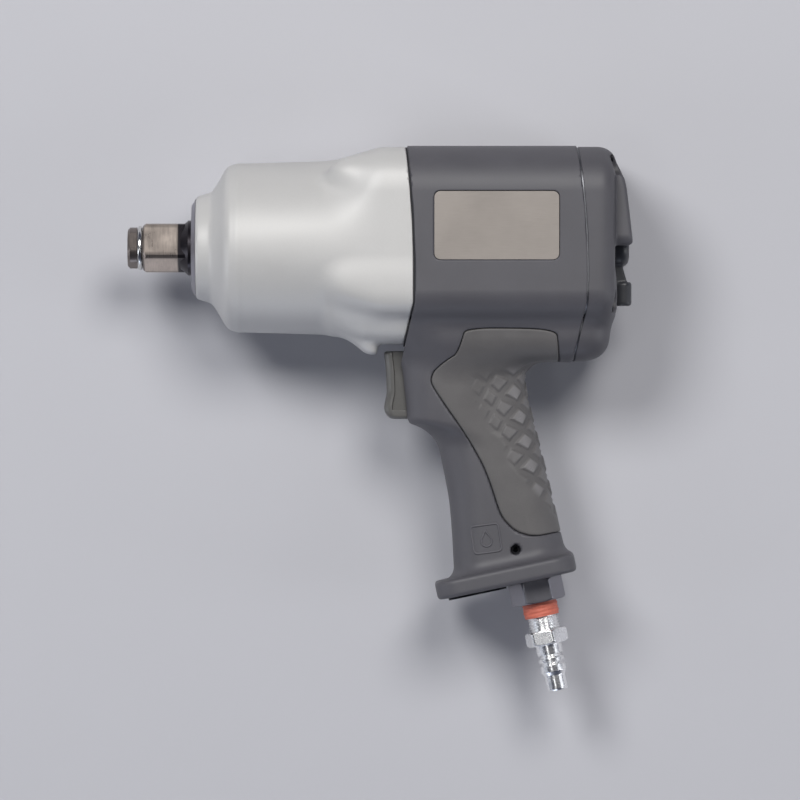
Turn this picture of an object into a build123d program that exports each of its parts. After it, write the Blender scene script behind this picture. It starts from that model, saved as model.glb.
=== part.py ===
"""Air impact wrench, 3/4 inch square drive, twin hammer, lying on its right side.

Frame, in millimetres: the origin is the centre of the square drive's end face.
+X runs along the drive axis from the nose to the rear cover, +Y from the handle
up to the top of the housing, and +Z out of the left side. The flat right side
at z = -HALF_Z is what the tool lies on.
"""
from build123d import *
import os
from math import cos, radians, sin, sqrt

# ---------------------------------------------------------------- outer casing
HALF_Z = 45.0              # half the width over the flat sides of the casing
BODY_TOP = 50.3            # top of the casing above the drive axis
BODY_LOW = -35.5           # where the wide body turns in to the keel
BODY_TOP_R = 23.0
BODY_LOW_R = 14.0
KEEL_LOW = -57.0           # bottom of the narrower keel under the body
KEEL_TOP = -10.0
KEEL_HALF = 32.0
KEEL_R = 17.0
KEEL_FRONT_LOW = -50.0     # the keel is shallower over the trigger
KEEL_STEP_X = 152.0
FRONT_SEAM_X = 142.7       # rearmost point of the bowed seam behind the hammer case
FRONT_SEAM_R = 482.0       # bow of that seam
REAR_SEAM_X = 228.6
REAR_SEAM_R = 396.0
SEAM_MID_Y = -13.0         # height at which both seams are rearmost
SEAM_KINK_Y = -28.0        # below this the seams run straight and forwards
FRONT_GASKET = 0.8
REAR_GASKET = 0.6
TOP_SCREWS = (40.0, 29.0)  # y and z of the screws at the top corners
LOW_SCREWS = (-27.0, 31.0)
SCREW_R = 3.0
SCREW_HOLE_R = 3.2
SCREW_HEAD_R = 5.0
SCREW_HEAD_H = 6.0
SCREW_SEAT_X = 235.5       # bottom of the counterbores in the rear cover
SCREW_TIP_X = 122.0

# ------------------------------------------------------------------ hammer case
NOSE_X = 34.0
NOSE_R = 25.6
BARREL_FRONT_R = 42.2
BARREL_REAR_R = 43.3
BARREL_REAR_X = 99.0
FLANGE_X = 126.0           # where the case has reached the body's full section
CHIN_LOW = -53.5
CHIN_X = (100.0, 117.0, 122.5)
CASE_UNDER = -49.5         # underside of the case behind the chin
CAVITY_R = 37.4
CAVITY_X = 56.5
NOSE_BORE_R = 17.5

# ------------------------------------------------------- drive and hammer parts
DRIVE_SQUARE = 19.05       # 3/4 inch across the flats
DRIVE_CORNER_R = 12.6
DRIVE_TURN = -24.5        # angle the square stands at
PILOT_TIP_R = 10.25
RING_X = (4.7, 7.6)
RING_GROOVE_R = 8.2
SHANK_R = 13.75
SHANK_X = 31.0
COLLAR_X = (57.0, 60.0)
COLLAR_R = 18.0
CORE_R = 11.5
JAW_R = 18.0
JAW_ANGLE = 36.0
FRONT_HAMMER_X = (67.0, 91.5)
REAR_HAMMER_X = (93.5, 118.0)
FRAME_R = 36.6
FRAME_X = (60.5, 66.5, 118.5, 126.5, 134.0)   # front plate, gap, rear plate, hub
HAMMER_R = 30.5
HAMMER_BORE_R = 21.5
HAMMER_LUG_R = 18.7
HAMMER_LUG_ANGLE = 40.0
PIN_ORBIT = 30.0
PIN_R = 4.5
PIN_NOTCH_R = 4.6
SWING_NOTCH_R = 4.9
SWING = 5.0                # how far a hammer swings each way on its pin, in degrees
TAIL_R = 6.9
HEX_DRIVE = 17.0

# ------------------------------------------------------------------------ motor
MOTOR_R = 33.0
MOTOR_BORE_R = 33.05
FRONT_PLATE_X = (135.0, 138.3, 153.0)
CYLINDER_X = (153.0, 207.0)
CYLINDER_BORE_R = 26.8
CYLINDER_OFFSET = 3.2
REAR_PLATE_X = (207.0, 219.0)
MANIFOLD_X = (219.0, 223.0)
ROTOR_R = 23.0
ROTOR_GAP = 0.2            # clearance between the rotor and each end plate
VANES = 6
VANE_T = 3.0
VANE_SLOT = 3.2
FRONT_BEARING = dict(x=(139.0, 149.0), bore=8.5, inner=11.0, outer=15.0, rim=17.5, ball=2.4, balls=10)
REAR_BEARING = dict(x=(209.0, 218.0), bore=7.5, inner=9.8, outer=13.8, rim=16.0, ball=2.2, balls=10)

# ----------------------------------------------------------------------- handle
TILT = 12.0                # lean of the handle, in degrees
HANDLE_AT = (182.4, -68.0)  # where the inlet bore's axis crosses the trigger's
HANDLE_HALF = 20.5
HANDLE_R = 17.0
# distance down the handle, then front and back edges measured across it
HANDLE_STATIONS = (
    (-14.0, -40.0, 17.0), (8.0, -37.0, 16.0), (22.0, -33.0, 16.4), (52.0, -33.3, 17.5),
    (70.0, -35.6, 17.8), (92.0, -39.0, 18.4),
)
FLANGE_S = (90.5, 99.6)
FLANGE_N = (-49.2, 21.3)
FLANGE_HALF = 28.0
FLANGE_R = 12.0
DEFLECTOR_S = (97.6, 100.8)
DEFLECTOR_N = (-44.0, -14.6)
PIN_S = 83.0               # line of the pins that lock the inlet bushing
PIN_N = -6.3
ROLL_PIN_R = 2.5
GRIP_T = 2.2               # thickness of the soft grip let into the casing
GRIP_GROOVE = 0.5          # gap all round its edge
GRIP_OUTLINE = (
    (168.5, -40.3), (213.5, -40.8), (214.5, -50.0), (216.0, -70.0), (236.0, -90.0), (236.0, -140.5),
    (216.0, -141.3), (202.7, -143.9), (193.5, -141.3), (186.4, -134.0), (181.3, -118.0),
    (177.2, -107.5), (169.0, -93.4), (154.8, -73.0), (151.2, -66.8), (152.8, -61.7),
    (158.9, -56.5), (164.0, -53.5), (166.6, -47.0),
)

# ---------------------------------------------------------- trigger and throttle
TRIGGER_Y = (-51.6, -85.5)
TRIGGER_HALF = 9.5
TRIGGER_X = (128.6, 147.0)
TRIGGER_CLEAR = 0.5
POCKET_X = (137.0, 158.0)
ROD_Y = -68.0
ROD_R = 2.6
ROD_TIP_X = 180.4
GUIDE_R = 4.5
INLET_R = 9.5
INLET_TOP = -10.0
SEAT_S = (38.0, 41.0)
VALVE_R = 7.5
STEM_R = 1.6

# ------------------------------------------------------------------ air inlet
BUSHING_TOP = 60.0
BUSHING_HEX = 24.0
BUSHING_HEX_S = (99.6, 111.5)
PLUG_BORE_R = 3.75
PLUG_THREAD_R = 8.3
PLUG_HEX = 19.0
# stations down the inlet axis and the plug's radius up to each; 0 stands for the hexagon
PLUG_STEPS = (
    (118.6, 8.3), (125.6, 6.7), (133.0, 0.0), (138.4, 6.6), (139.6, 5.2), (142.0, 6.5),
    (143.0, 5.2), (146.8, 6.5),
)
PLUG_TAPER_END = 148.6
PLUG_NOSE_R = 5.3
PLUG_TIP = 156.4
SEALANT_R = 8.75

# ------------------------------------------------------------------ rear cover
COVER_BACK = 242.5
HOOD_BACK = 252.0
HOOD_HALF = 33.0
HOOD_Y = (1.0, 47.0)
LEVER_X = (243.0, 250.5)
LEVER_HUB_R = 9.5
LEVER_TAB_Y = (-29.0, -17.0)
VALVE_DISC_R = 13.0

PLATE_X = (153.0, 214.6)   # name plate
PLATE_Y = (-6.5, 27.2)
PLATE_T = 0.8
PLATE_RECESS = 1.0

FAR = 400.0                # larger than the tool, for cutting


# ==================================================================== helpers
def ring(x, outer, inner=0.0):
    """A disc or tube about the drive axis, from x[0] to x[1]."""
    place = Pos((x[0] + x[1]) / 2, 0, 0) * Rot(0, 90, 0)
    body = place * Cylinder(outer, x[1] - x[0])
    if inner:
        body -= place * Cylinder(inner, x[1] - x[0])
    return body


def rod(x, y, z, radius):
    """A round bar parallel to the drive axis."""
    return Pos(0, y, z) * ring(x, radius)


def block(x, y, z):
    """A box between two corners."""
    middle = [(low + high) / 2 for low, high in (x, y, z)]
    return Pos(*middle) * Box(x[1] - x[0], y[1] - y[0], z[1] - z[0])


def section(x, low, high, half, low_r, high_r):
    """The casing's outline across the tool at x, with its own lower and upper corner radii."""
    outline = Pos((low + high) / 2, 0) * Rectangle(high - low, 2 * half)
    middle = (low + high) / 2
    outline = fillet([v for v in outline.vertices() if v.X > middle], high_r)
    outline = fillet([v for v in outline.vertices() if v.X < middle and abs(abs(v.Y) - half) < 1e-6
                      and abs(v.X - low) < 1e-6], low_r)
    return Plane.YZ.offset(x) * outline


def prism(x, *outline):
    """The casing section carried straight from x[0] to x[1]."""
    return extrude(section(x[0], *outline), x[1] - x[0])


def handle_plane(s):
    """The plane across the handle, s down its axis: local x towards its back, local y to the left side."""
    lean = radians(TILT)
    down = Vector(sin(lean), -cos(lean), 0)
    return Plane(Vector(*HANDLE_AT, 0) + down * s, x_dir=(cos(lean), sin(lean), 0), z_dir=down)


def inlet_ring(s, outer, inner=0.0, n=0.0):
    """A disc or tube about the inlet bore's axis, from s[0] to s[1] down the handle."""
    face = Circle(outer) - Circle(inner) if inner else Circle(outer)
    return extrude(handle_plane(s[0]) * Pos(n, 0) * face, s[1] - s[0])


def handle_prism(s, n, half, corner):
    """A block with rounded corners across the handle."""
    face = Pos((n[0] + n[1]) / 2, 0) * RectangleRounded(n[1] - n[0], 2 * half, corner)
    return extrude(handle_plane(s[0]) * face, s[1] - s[0])


def inlet_hex(s, across, turn=0.0):
    """A hexagon about the inlet bore's axis."""
    face = Rot(0, 0, turn) * RegularPolygon(across / 2, 6, major_radius=False)
    return extrude(handle_plane(s[0]) * face, s[1] - s[0])


def seam_cutter(back_x, bow, shift=0.0):
    """Everything in front of a bowed seam, as one solid that is wide in z."""

    def at(y):
        return back_x + shift - (y - SEAM_MID_Y) ** 2 / (2 * bow)
    top, kink, low = 80.0, SEAM_KINK_Y, -75.0
    low_x = at(kink) - (kink - low) * 0.23
    edge = (
        ThreePointArc((at(top), top), (at((top + kink) / 2), (top + kink) / 2), (at(kink), kink))
        + Line((at(kink), kink), (low_x, low))
        + Polyline((low_x, low), (-FAR, low), (-FAR, top), (at(top), top))
    )
    return extrude(make_face(edge), FAR / 4, both=True)


def screw_places():
    """y and z of the four cover screws."""
    return [(y, side * z) for y, z in (TOP_SCREWS, LOW_SCREWS) for side in (1, -1)]


def screw_holes(x, radius):
    """The four screw holes from x[0] to x[1], as one compound to cut away."""
    return Compound([rod(x, y, z, radius) for y, z in screw_places()])


def only_solids(shape):
    """The shape's solids as one compound, or the solid itself."""
    solids = shape.solids()
    return solids[0] if len(solids) == 1 else Compound(solids)


# ============================================================ the outer casing
def casing(x, inset=0.0):
    """Body and keel together, from x[0] to x[1], taken in by inset; shallower in front of the keel's step."""
    radii = (BODY_LOW_R - inset, BODY_TOP_R - inset)
    body = prism(x, BODY_LOW + inset, BODY_TOP - inset, HALF_Z - inset, *radii)
    if x[0] < KEEL_STEP_X:
        front = (x[0], min(x[1], KEEL_STEP_X))
        body += prism(front, KEEL_FRONT_LOW + inset, KEEL_TOP, KEEL_HALF - inset, KEEL_R - 2 - inset, 4.0)
    if x[1] > KEEL_STEP_X:
        rear = (max(x[0], KEEL_STEP_X), x[1])
        body += prism(rear, KEEL_LOW + inset, KEEL_TOP, KEEL_HALF - inset, KEEL_R - inset, 4.0)
    return body


def handle_outer(inset=0.0):
    """The handle from under the body to its base flange, and the block that holds the trigger."""
    faces = []
    for s, front, back in HANDLE_STATIONS:
        width = back - front - 2 * inset
        face = RectangleRounded(width, 2 * (HANDLE_HALF - inset), HANDLE_R - inset)
        faces.append(handle_plane(s) * Pos((front + back) / 2, 0) * face)
    stem = loft(faces)
    head = extrude(Plane.XZ.offset(46.0) * Pos(165.0, 0) * RectangleRounded(
        50.0 - 2 * inset, 2 * (HANDLE_HALF - inset), HANDLE_R - 5.0 - inset), 41.0 - inset)
    return stem + head


def flange():
    """The base flange of the handle."""
    return handle_prism(FLANGE_S, FLANGE_N, FLANGE_HALF, FLANGE_R)


def pin_place(z):
    """A point on the line of the bushing's lock pins, z to the left side."""
    return handle_plane(PIN_S).from_local_coords((PIN_N, z, 0))


def grip_region(grow=0.0):
    """The side outline of the soft grip, carried right through the casing."""
    face = make_face(Polyline(*GRIP_OUTLINE, close=True))
    if grow:
        face = offset(face, grow, kind=Kind.ARC)
    return extrude(face, HALF_Z + 10, both=True)


def passages():
    """The inlet bore, trigger pocket, rod guide hole and exhaust way, all as one cutter."""
    inlet = inlet_ring((INLET_TOP, FLANGE_S[1]), INLET_R)
    feed = rod((180.0, 240.0), -49.5, 0, 5.0) + inlet_ring((-22.0, INLET_TOP), 5.0)
    pocket_half = TRIGGER_HALF + TRIGGER_CLEAR
    pocket_y = (TRIGGER_Y[1] - TRIGGER_CLEAR, TRIGGER_Y[0] + TRIGGER_CLEAR)
    pocket = block(POCKET_X, pocket_y, (-pocket_half, pocket_half))
    guide = rod((150.0, 176.0), ROD_Y, 0, GUIDE_R)
    way_down = block((160.0, 169.0), (-93.0, -28.0), (-11.0, 11.0))
    way_out = handle_prism((17.0, FLANGE_S[1]), (-29.0, -15.6), 10.5, 3.0)
    deflector = handle_prism((DEFLECTOR_S[0], FLANGE_S[1]), DEFLECTOR_N, 22.0, 5.0)
    return [inlet, feed, pocket, guide, way_down, way_out, deflector]


# ================================================================ casing parts
def motor_housing():
    """Moulded housing: body, keel, handle and base flange, bored for the motor and the air ways."""
    x = (134.0, 232.0)
    solid = casing(x) - seam_cutter(FRONT_SEAM_X, FRONT_SEAM_R, FRONT_GASKET)
    solid = (solid & seam_cutter(REAR_SEAM_X, REAR_SEAM_R)) + handle_outer() + flange()
    core = casing(x, GRIP_T) + handle_outer(GRIP_T)
    solid = solid - (grip_region(GRIP_GROOVE) - core)
    solid = solid - ring((130.0, 235.0), MOTOR_BORE_R)
    solid = solid - screw_holes((130.0, 235.0), SCREW_HOLE_R)
    for cutter in passages():
        solid = solid - cutter
    for side in (1, -1):
        solid = solid - plate_block(side, PLATE_RECESS, PLATE_RECESS + 1.0, 0.15)
        solid = solid - Pos(*pin_place(side * 13.0)) * Cylinder(ROLL_PIN_R, 15.4)
    return solid


def soft_grip():
    """Rubber grip let into both sides and the back of the handle."""
    outer = casing((150.0, 222.0)) + handle_outer()
    core = casing((140.0, 232.0), GRIP_T) + handle_outer(GRIP_T)
    return (outer & grip_region()) - core


def plate_block(side, depth, height, grow=0.0):
    """A block of a name plate's outline on one side, standing height up from depth under the flat side."""
    face = Pos((PLATE_X[0] + PLATE_X[1]) / 2, (PLATE_Y[0] + PLATE_Y[1]) / 2) * RectangleRounded(
        PLATE_X[1] - PLATE_X[0] + 2 * grow, PLATE_Y[1] - PLATE_Y[0] + 2 * grow, 3.0)
    return extrude(Pos(0, 0, side * (HALF_Z - depth)) * face, side * height)


def name_plate(side):
    """A plain metal name plate, lying in its recess just under the flat side."""
    return plate_block(side, PLATE_RECESS, PLATE_T)


def gasket(back_x, bow, thickness):
    """A flat gasket of the casing's own section, bent to a bowed seam."""
    x = (back_x - 30.0, back_x + 5.0)
    plate = casing(x, 0.8) & seam_cutter(back_x, bow, thickness)
    plate = plate - seam_cutter(back_x, bow)
    plate = plate - ring((100.0, 260.0), CAVITY_R) - screw_holes((100.0, 260.0), SCREW_HOLE_R)
    return plate


def hammer_case():
    """Cast aluminium front housing: nose, shoulder, barrel and the square flange with its chin."""
    outline = Polyline(
        (NOSE_X, 0), (NOSE_X, NOSE_R), (41.0, 27.0), (49.0, 40.6), (53.0, BARREL_FRONT_R),
        (BARREL_REAR_X + 2, BARREL_REAR_R), (BARREL_REAR_X + 2, 0), close=True)
    barrel = revolve(make_face(outline), Axis.X)
    corner = BARREL_REAR_R - 0.6
    near_round = (-BARREL_REAR_R, BARREL_REAR_R, BARREL_REAR_R, corner, corner)
    half_way = (-41.0, 46.6, 44.2, 30.0, 34.0)
    full = (BODY_LOW - 2.0, BODY_TOP - 0.6, HALF_Z, BODY_LOW_R + 2, BODY_TOP_R)
    stations = ((BARREL_REAR_X - 2, near_round), (112.0, half_way), (FLANGE_X, full))
    flare = loft([section(x, *outline) for x, outline in stations])
    flange_block = prism((FLANGE_X, 146.0), *full)
    chin = loft([
        section(CHIN_X[0], -41.0, -12.0, 20.0, 10.0, 4.0),
        section(CHIN_X[1], CHIN_LOW, -12.0, 28.0, 13.0, 4.0),
    ]) + prism(CHIN_X[1:], CHIN_LOW, -12.0, 28.0, 13.0, 4.0)
    under = prism((CHIN_X[2], 146.0), CASE_UNDER, KEEL_TOP, KEEL_HALF - 1, 13.0, 4.0)
    solid = barrel + flare + flange_block + chin + under
    solid = solid & seam_cutter(FRONT_SEAM_X, FRONT_SEAM_R)
    cavity = make_face(Polyline(
        (CAVITY_X, 0), (CAVITY_X, CAVITY_R - 3.0), (CAVITY_X + 3.0, CAVITY_R), (150.0, CAVITY_R), (150.0, 0),
        close=True))
    solid = solid - revolve(cavity, Axis.X) - ring((NOSE_X, CAVITY_X), NOSE_BORE_R)
    return solid - screw_holes((SCREW_TIP_X, 150.0), SCREW_R)


def rear_cover():
    """Rear cover with the hood over the reverse lever and counterbores for the screws."""
    wide = prism((215.0, COVER_BACK), BODY_LOW + 0.5, BODY_TOP - 0.6, HALF_Z - 0.6, BODY_LOW_R, BODY_TOP_R)
    wide = chamfer(wide.faces().sort_by(Axis.X)[-1].edges(), 4.5, 3.0)
    keel = prism((215.0, COVER_BACK - 3.0), KEEL_LOW + 0.4, KEEL_TOP, KEEL_HALF - 0.5, KEEL_R, 4.0)
    rim = keel.faces().sort_by(Axis.X)[-1].edges()
    keel = chamfer(rim.filter_by(lambda e: e.center().Y < KEEL_TOP - 4), 3.0)
    back = wide + keel
    hood = make_face(Polyline(
        (COVER_BACK - 8, HOOD_Y[0] + 0.6), (HOOD_BACK, HOOD_Y[0]), (HOOD_BACK - 2.6, 33.0),
        (HOOD_BACK - 5, 41.5), (COVER_BACK - 2, HOOD_Y[1]), (COVER_BACK - 8, HOOD_Y[1]), close=True))
    hood = extrude(hood, HOOD_HALF, both=True)
    hood = chamfer([e for e in hood.edges() if abs(abs(e.center().Z) - HOOD_HALF) < 0.01
                    and e.center().X > COVER_BACK + 2], 3.0)
    solid = (back + hood) - seam_cutter(REAR_SEAM_X, REAR_SEAM_R, REAR_GASKET)
    solid = solid - ring((210.0, 233.0), VALVE_DISC_R + 0.1)
    solid = solid - (ring((210.0, 231.0), 28.0) - ring((210.0, 231.0), VALVE_DISC_R + 5.0))
    solid = solid - ring((232.0, 244.0), 5.1) - ring((COVER_BACK, 256.0), LEVER_HUB_R + 1.5)
    sweep = block((COVER_BACK, 256.0), (-40.0, HOOD_Y[0] + 0.7), (-HOOD_HALF - 2, HOOD_HALF + 2))
    solid = solid - sweep - screw_holes((200.0, 260.0), SCREW_HOLE_R)
    return solid - screw_holes((SCREW_SEAT_X, 260.0), SCREW_HEAD_R + 0.6)


# ============================================================== front end parts
def nose_ring():
    """Steel wear ring in the mouth of the nose."""
    lip = revolve(make_face(Polyline(
        (32.0, 15.0), (32.0, 21.4), (NOSE_X, 24.6), (NOSE_X, 15.0), close=True)), Axis.X)
    return lip + ring((NOSE_X, 36.0), NOSE_BORE_R, 15.0)


def sector(inner, outer, middle, width):
    """A sector of a ring in the plane across the drive axis; angles from +Y towards +Z."""
    steps = 8

    def at(radius, k):
        turn = radians(middle - width / 2 + width * k / steps)
        return (radius * cos(turn), radius * sin(turn))

    points = [at(outer, k) for k in range(steps + 1)] + [at(inner, k) for k in range(steps, -1, -1)]
    big = make_face(Polyline(*[(1.3 * y, 1.3 * z) if sqrt(y * y + z * z) > (inner + outer) / 2 else (y, z)
                               for y, z in points], close=True))
    return big & (Circle(outer) - Circle(inner * 0.999))


def anvil():
    """Output shaft: square drive with a ring groove, shank, collar, two jaws and a tail journal."""
    square = extrude(Plane.YZ * Rot(0, 0, DRIVE_TURN) * Rectangle(DRIVE_SQUARE, DRIVE_SQUARE), SHANK_X)
    limit = revolve(make_face(Polyline(
        (0, 0), (0, PILOT_TIP_R - 1.2), (1.2, PILOT_TIP_R), (RING_X[0], PILOT_TIP_R),
        (RING_X[0], RING_GROOVE_R), (RING_X[1], RING_GROOVE_R), (RING_X[1], DRIVE_CORNER_R - 1.5),
        (RING_X[1] + 1.5, DRIVE_CORNER_R),
        (SHANK_X, DRIVE_CORNER_R), (SHANK_X, 0), close=True)), Axis.X)
    neck = revolve(make_face(Polyline(
        (26.5, 0), (26.5, 10.6), (SHANK_X - 0.8, SHANK_R), (FRAME_X[1], SHANK_R), (FRAME_X[1], 0),
        close=True)), Axis.X)
    core = ring((FRAME_X[1], REAR_HAMMER_X[1]), CORE_R)
    body = (square & limit) + neck + ring(COLLAR_X, COLLAR_R) + core
    body += extrude(Plane.YZ.offset(FRONT_HAMMER_X[0]) * sector(9.0, JAW_R, 0.0, JAW_ANGLE), 24.0)
    body += extrude(Plane.YZ.offset(REAR_HAMMER_X[0] + 0.5) * sector(9.0, JAW_R, 180.0, JAW_ANGLE), 24.0)
    return body + ring((REAR_HAMMER_X[1], 123.5), TAIL_R)


def socket_ring():
    """Split spring ring that holds the socket on the square."""
    hoop = Pos((RING_X[0] + RING_X[1]) / 2, 0, 0) * Rot(0, 90, 0) * Torus(9.85, 1.2)
    return hoop - block((0, 12), (-14, 0), (-0.9, 0.9))


def ring_cushion():
    """Rubber ring under the split ring."""
    return ring((RING_X[0] + 0.3, RING_X[1] - 0.3), 8.6, RING_GROOVE_R)


def hammer_frame():
    """Cage that carries the hammers: two plates, two webs and a hub with a hexagon for the rotor."""
    front, gap, rear, hub, end = FRAME_X
    frame = ring((front, gap), FRAME_R, SHANK_R + 0.45) + ring((rear, hub), FRAME_R) + ring((hub, end), 14.0)
    web = sector(34.3, FRAME_R, 90.0, 56.0)
    frame += extrude(Plane.YZ.offset(gap) * web, rear - gap)
    frame += extrude(Plane.YZ.offset(gap) * Rot(0, 0, 180) * web, rear - gap)
    frame -= ring((rear, rear + 5.5), TAIL_R + 0.05)
    socket = RegularPolygon(HEX_DRIVE / 2 + 0.05, 6, major_radius=False)
    frame -= extrude(Plane.YZ.offset(rear + 5.5) * socket, 12.0)
    for side in (1, -1):
        frame -= rod((front, hub), side * PIN_ORBIT, 0, PIN_R)
    return frame


def hammer_pins():
    """The two pins that the hammers hang on."""
    return Compound([rod((FRAME_X[0], FRAME_X[3]), side * PIN_ORBIT, 0, PIN_R) for side in (1, -1)])


def hammer(x, side):
    """A ring hammer hung on the pin at +Y or -Y: a wide notch for the other pin and two striking lugs."""
    face = Circle(HAMMER_R) - Circle(HAMMER_BORE_R)
    for middle in (90.0, 270.0):
        face += sector(HAMMER_LUG_R, HAMMER_BORE_R + 1.0, middle, HAMMER_LUG_ANGLE)
    face -= Pos(side * PIN_ORBIT, 0) * Circle(PIN_NOTCH_R)
    reach = 2 * PIN_ORBIT * sin(radians(SWING)) + 0.4
    for shift in (reach, -reach):
        face -= Pos(-side * PIN_ORBIT, shift) * Circle(SWING_NOTCH_R)
    face -= Pos(-side * (PIN_ORBIT + 2.0), 0) * Rectangle(2 * SWING_NOTCH_R + 4.0, 2 * reach)
    return extrude(Plane.YZ.offset(x[0]) * face, x[1] - x[0])


# ================================================================== motor parts
def bearing_race(b, inside):
    """One race of a ball bearing, with its ball groove."""
    orbit = (b["inner"] + b["outer"]) / 2
    groove = Pos(sum(b["x"]) / 2, 0, 0) * Rot(0, 90, 0) * Torus(orbit, b["ball"] + 0.1)
    radii = (b["inner"], b["bore"]) if inside else (b["rim"], b["outer"])
    return ring(b["x"], *radii) - groove


def bearing_balls(b):
    """The balls of a bearing."""
    orbit = (b["inner"] + b["outer"]) / 2
    ball = Pos(sum(b["x"]) / 2, orbit, 0) * Sphere(b["ball"])
    return Compound([Rot(360.0 * k / b["balls"], 0, 0) * ball for k in range(b["balls"])])


def front_end_plate():
    """Front plate of the motor, with the front bearing's seat."""
    plate = ring(FRONT_PLATE_X[:2], CAVITY_R - 0.1) + ring(FRONT_PLATE_X[1:], MOTOR_R)
    return plate - ring((FRONT_PLATE_X[0], 149.0), FRONT_BEARING["rim"]) - ring((149.0, 153.0), 9.4)


def rear_end_plate():
    """Rear plate of the motor, with the rear bearing's seat and two feed ports."""
    plate = ring(REAR_PLATE_X, MOTOR_R) - ring((207.0, 209.0), 8.3)
    plate -= ring((209.0, 219.0), REAR_BEARING["rim"])
    for side in (1, -1):
        plate -= rod(REAR_PLATE_X, 8.0, side * 24.0, 3.0)
    return plate


def cylinder():
    """Motor cylinder: an off-centre bore and five exhaust slots below."""
    body = ring(CYLINDER_X, MOTOR_R) - rod(CYLINDER_X, CYLINDER_OFFSET, 0, CYLINDER_BORE_R)
    for k in range(5):
        middle = 162.0 + 9.0 * k
        body -= block((middle - 2.0, middle + 2.0), (-40.0, -15.0), (-9.0, 9.0))
    return body


def rotor():
    """Rotor with six vane slots, a hexagon nose for the hammer frame and a journal at each end."""
    x = (CYLINDER_X[0] + ROTOR_GAP, CYLINDER_X[1] - ROTOR_GAP)
    body = ring(x, ROTOR_R)
    slot = block(x, (11.5, ROTOR_R + 1.0), (-VANE_SLOT / 2, VANE_SLOT / 2))
    for k in range(VANES):
        body -= Rot(360.0 * k / VANES, 0, 0) * slot
    hexagon = extrude(Plane.YZ.offset(124.2) * RegularPolygon(HEX_DRIVE / 2, 6, major_radius=False), 9.8)
    body += hexagon + ring((134.0, x[0]), FRONT_BEARING["bore"]) + ring((x[1], 218.0), REAR_BEARING["bore"])
    return body


def rotor_vanes():
    """Six vanes, pushed home in their slots."""
    x = (CYLINDER_X[0] + 2 * ROTOR_GAP, CYLINDER_X[1] - 2 * ROTOR_GAP)
    vane = block(x, (12.0, ROTOR_R + 0.2), (-VANE_T / 2, VANE_T / 2))
    return Compound([Rot(360.0 * k / VANES, 0, 0) * vane for k in range(VANES)])


def manifold():
    """Fixed port plate between the rear end plate and the reverse valve."""
    plate = ring(MANIFOLD_X, MOTOR_R)
    for k in range(4):
        plate -= Rot(45.0 + 90.0 * k, 0, 0) * rod(MANIFOLD_X, 9.0, 0, 2.6)
    return plate


def cover_screws():
    """Four long socket-head screws from the rear cover to the hammer case."""
    screws = []
    for y, z in screw_places():
        shank = rod((SCREW_TIP_X, SCREW_SEAT_X), y, z, SCREW_R)
        head = rod((SCREW_SEAT_X, SCREW_SEAT_X + SCREW_HEAD_H), y, z, SCREW_HEAD_R)
        recess = Pos(y, z) * RegularPolygon(2.5, 6, major_radius=False)
        screws.append((shank + head) - extrude(Plane.YZ.offset(SCREW_SEAT_X + 3.0) * recess, 4.0))
    return Compound([s for screw in screws for s in screw.solids()])


# ===================================================== trigger, throttle, inlet
def helix_spring(plane, radius, wire, height, turns):
    """A closed-coil spring standing on a plane."""
    path = Helix(pitch=height / turns, height=height, radius=radius)
    start = Plane(path @ 0, z_dir=path % 0)
    return plane * sweep(start * Circle(wire), path=path)


def trigger():
    """Finger trigger with a hollowed front face and a bore for its spring."""
    low, high = TRIGGER_Y[1], TRIGGER_Y[0]
    outline = make_face(
        Polyline((TRIGGER_X[1], high), (TRIGGER_X[0] - 0.6, high))
        + ThreePointArc((TRIGGER_X[0] - 0.6, high), (TRIGGER_X[0] + 1.7, -68.0), (TRIGGER_X[0] + 0.2, -78.0))
        + ThreePointArc((TRIGGER_X[0] + 0.2, -78.0), (TRIGGER_X[0] - 0.2, -82.8), (TRIGGER_X[0] + 3.4, low))
        + Polyline((TRIGGER_X[0] + 3.4, low), (TRIGGER_X[1], low), (TRIGGER_X[1], high)))
    body = extrude(outline, TRIGGER_HALF, both=True)
    front = [e for e in body.edges() if e.center().X < TRIGGER_X[0] + 2.5
             and abs(abs(e.center().Z) - TRIGGER_HALF) < 0.01]
    body = fillet(front, 1.6)
    return body - rod((141.0, 150.0), ROD_Y, 0, 6.0) - rod((133.0, 141.0), ROD_Y, 0, ROD_R)


def trigger_rod():
    """Steel rod pressed into the trigger, with a round tip that meets the throttle stem."""
    bar = rod((133.0, ROD_TIP_X), ROD_Y, 0, ROD_R)
    return fillet(bar.edges().sort_by(Axis.X)[-1], 1.8)


def rod_guide():
    """Bush that guides the trigger rod through the exhaust way."""
    bush = rod((POCKET_X[1], 172.0), ROD_Y, 0, GUIDE_R) - rod((POCKET_X[1], 172.0), ROD_Y, 0, ROD_R + 0.06)
    return bush


def throttle_valve():
    """Tilt valve: a long stem on a round valve plate."""
    stem = inlet_ring((-3.5, SEAT_S[1] + 1.5), STEM_R)
    return stem + inlet_ring((SEAT_S[1] + 1.3, SEAT_S[1] + 3.0), VALVE_R - 0.6)


def valve_face():
    """Rubber face of the throttle valve."""
    return inlet_ring((SEAT_S[1] + 0.05, SEAT_S[1] + 1.3), VALVE_R, STEM_R)


def inlet_bushing():
    """Threaded inlet bushing with its hexagon under the base flange."""
    body = inlet_ring((BUSHING_TOP, BUSHING_HEX_S[0]), INLET_R) + inlet_hex(BUSHING_HEX_S, BUSHING_HEX)
    body -= inlet_ring((BUSHING_TOP, 101.0), 6.5)
    return body - inlet_ring((101.0, BUSHING_HEX_S[1]), PLUG_THREAD_R)


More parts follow.
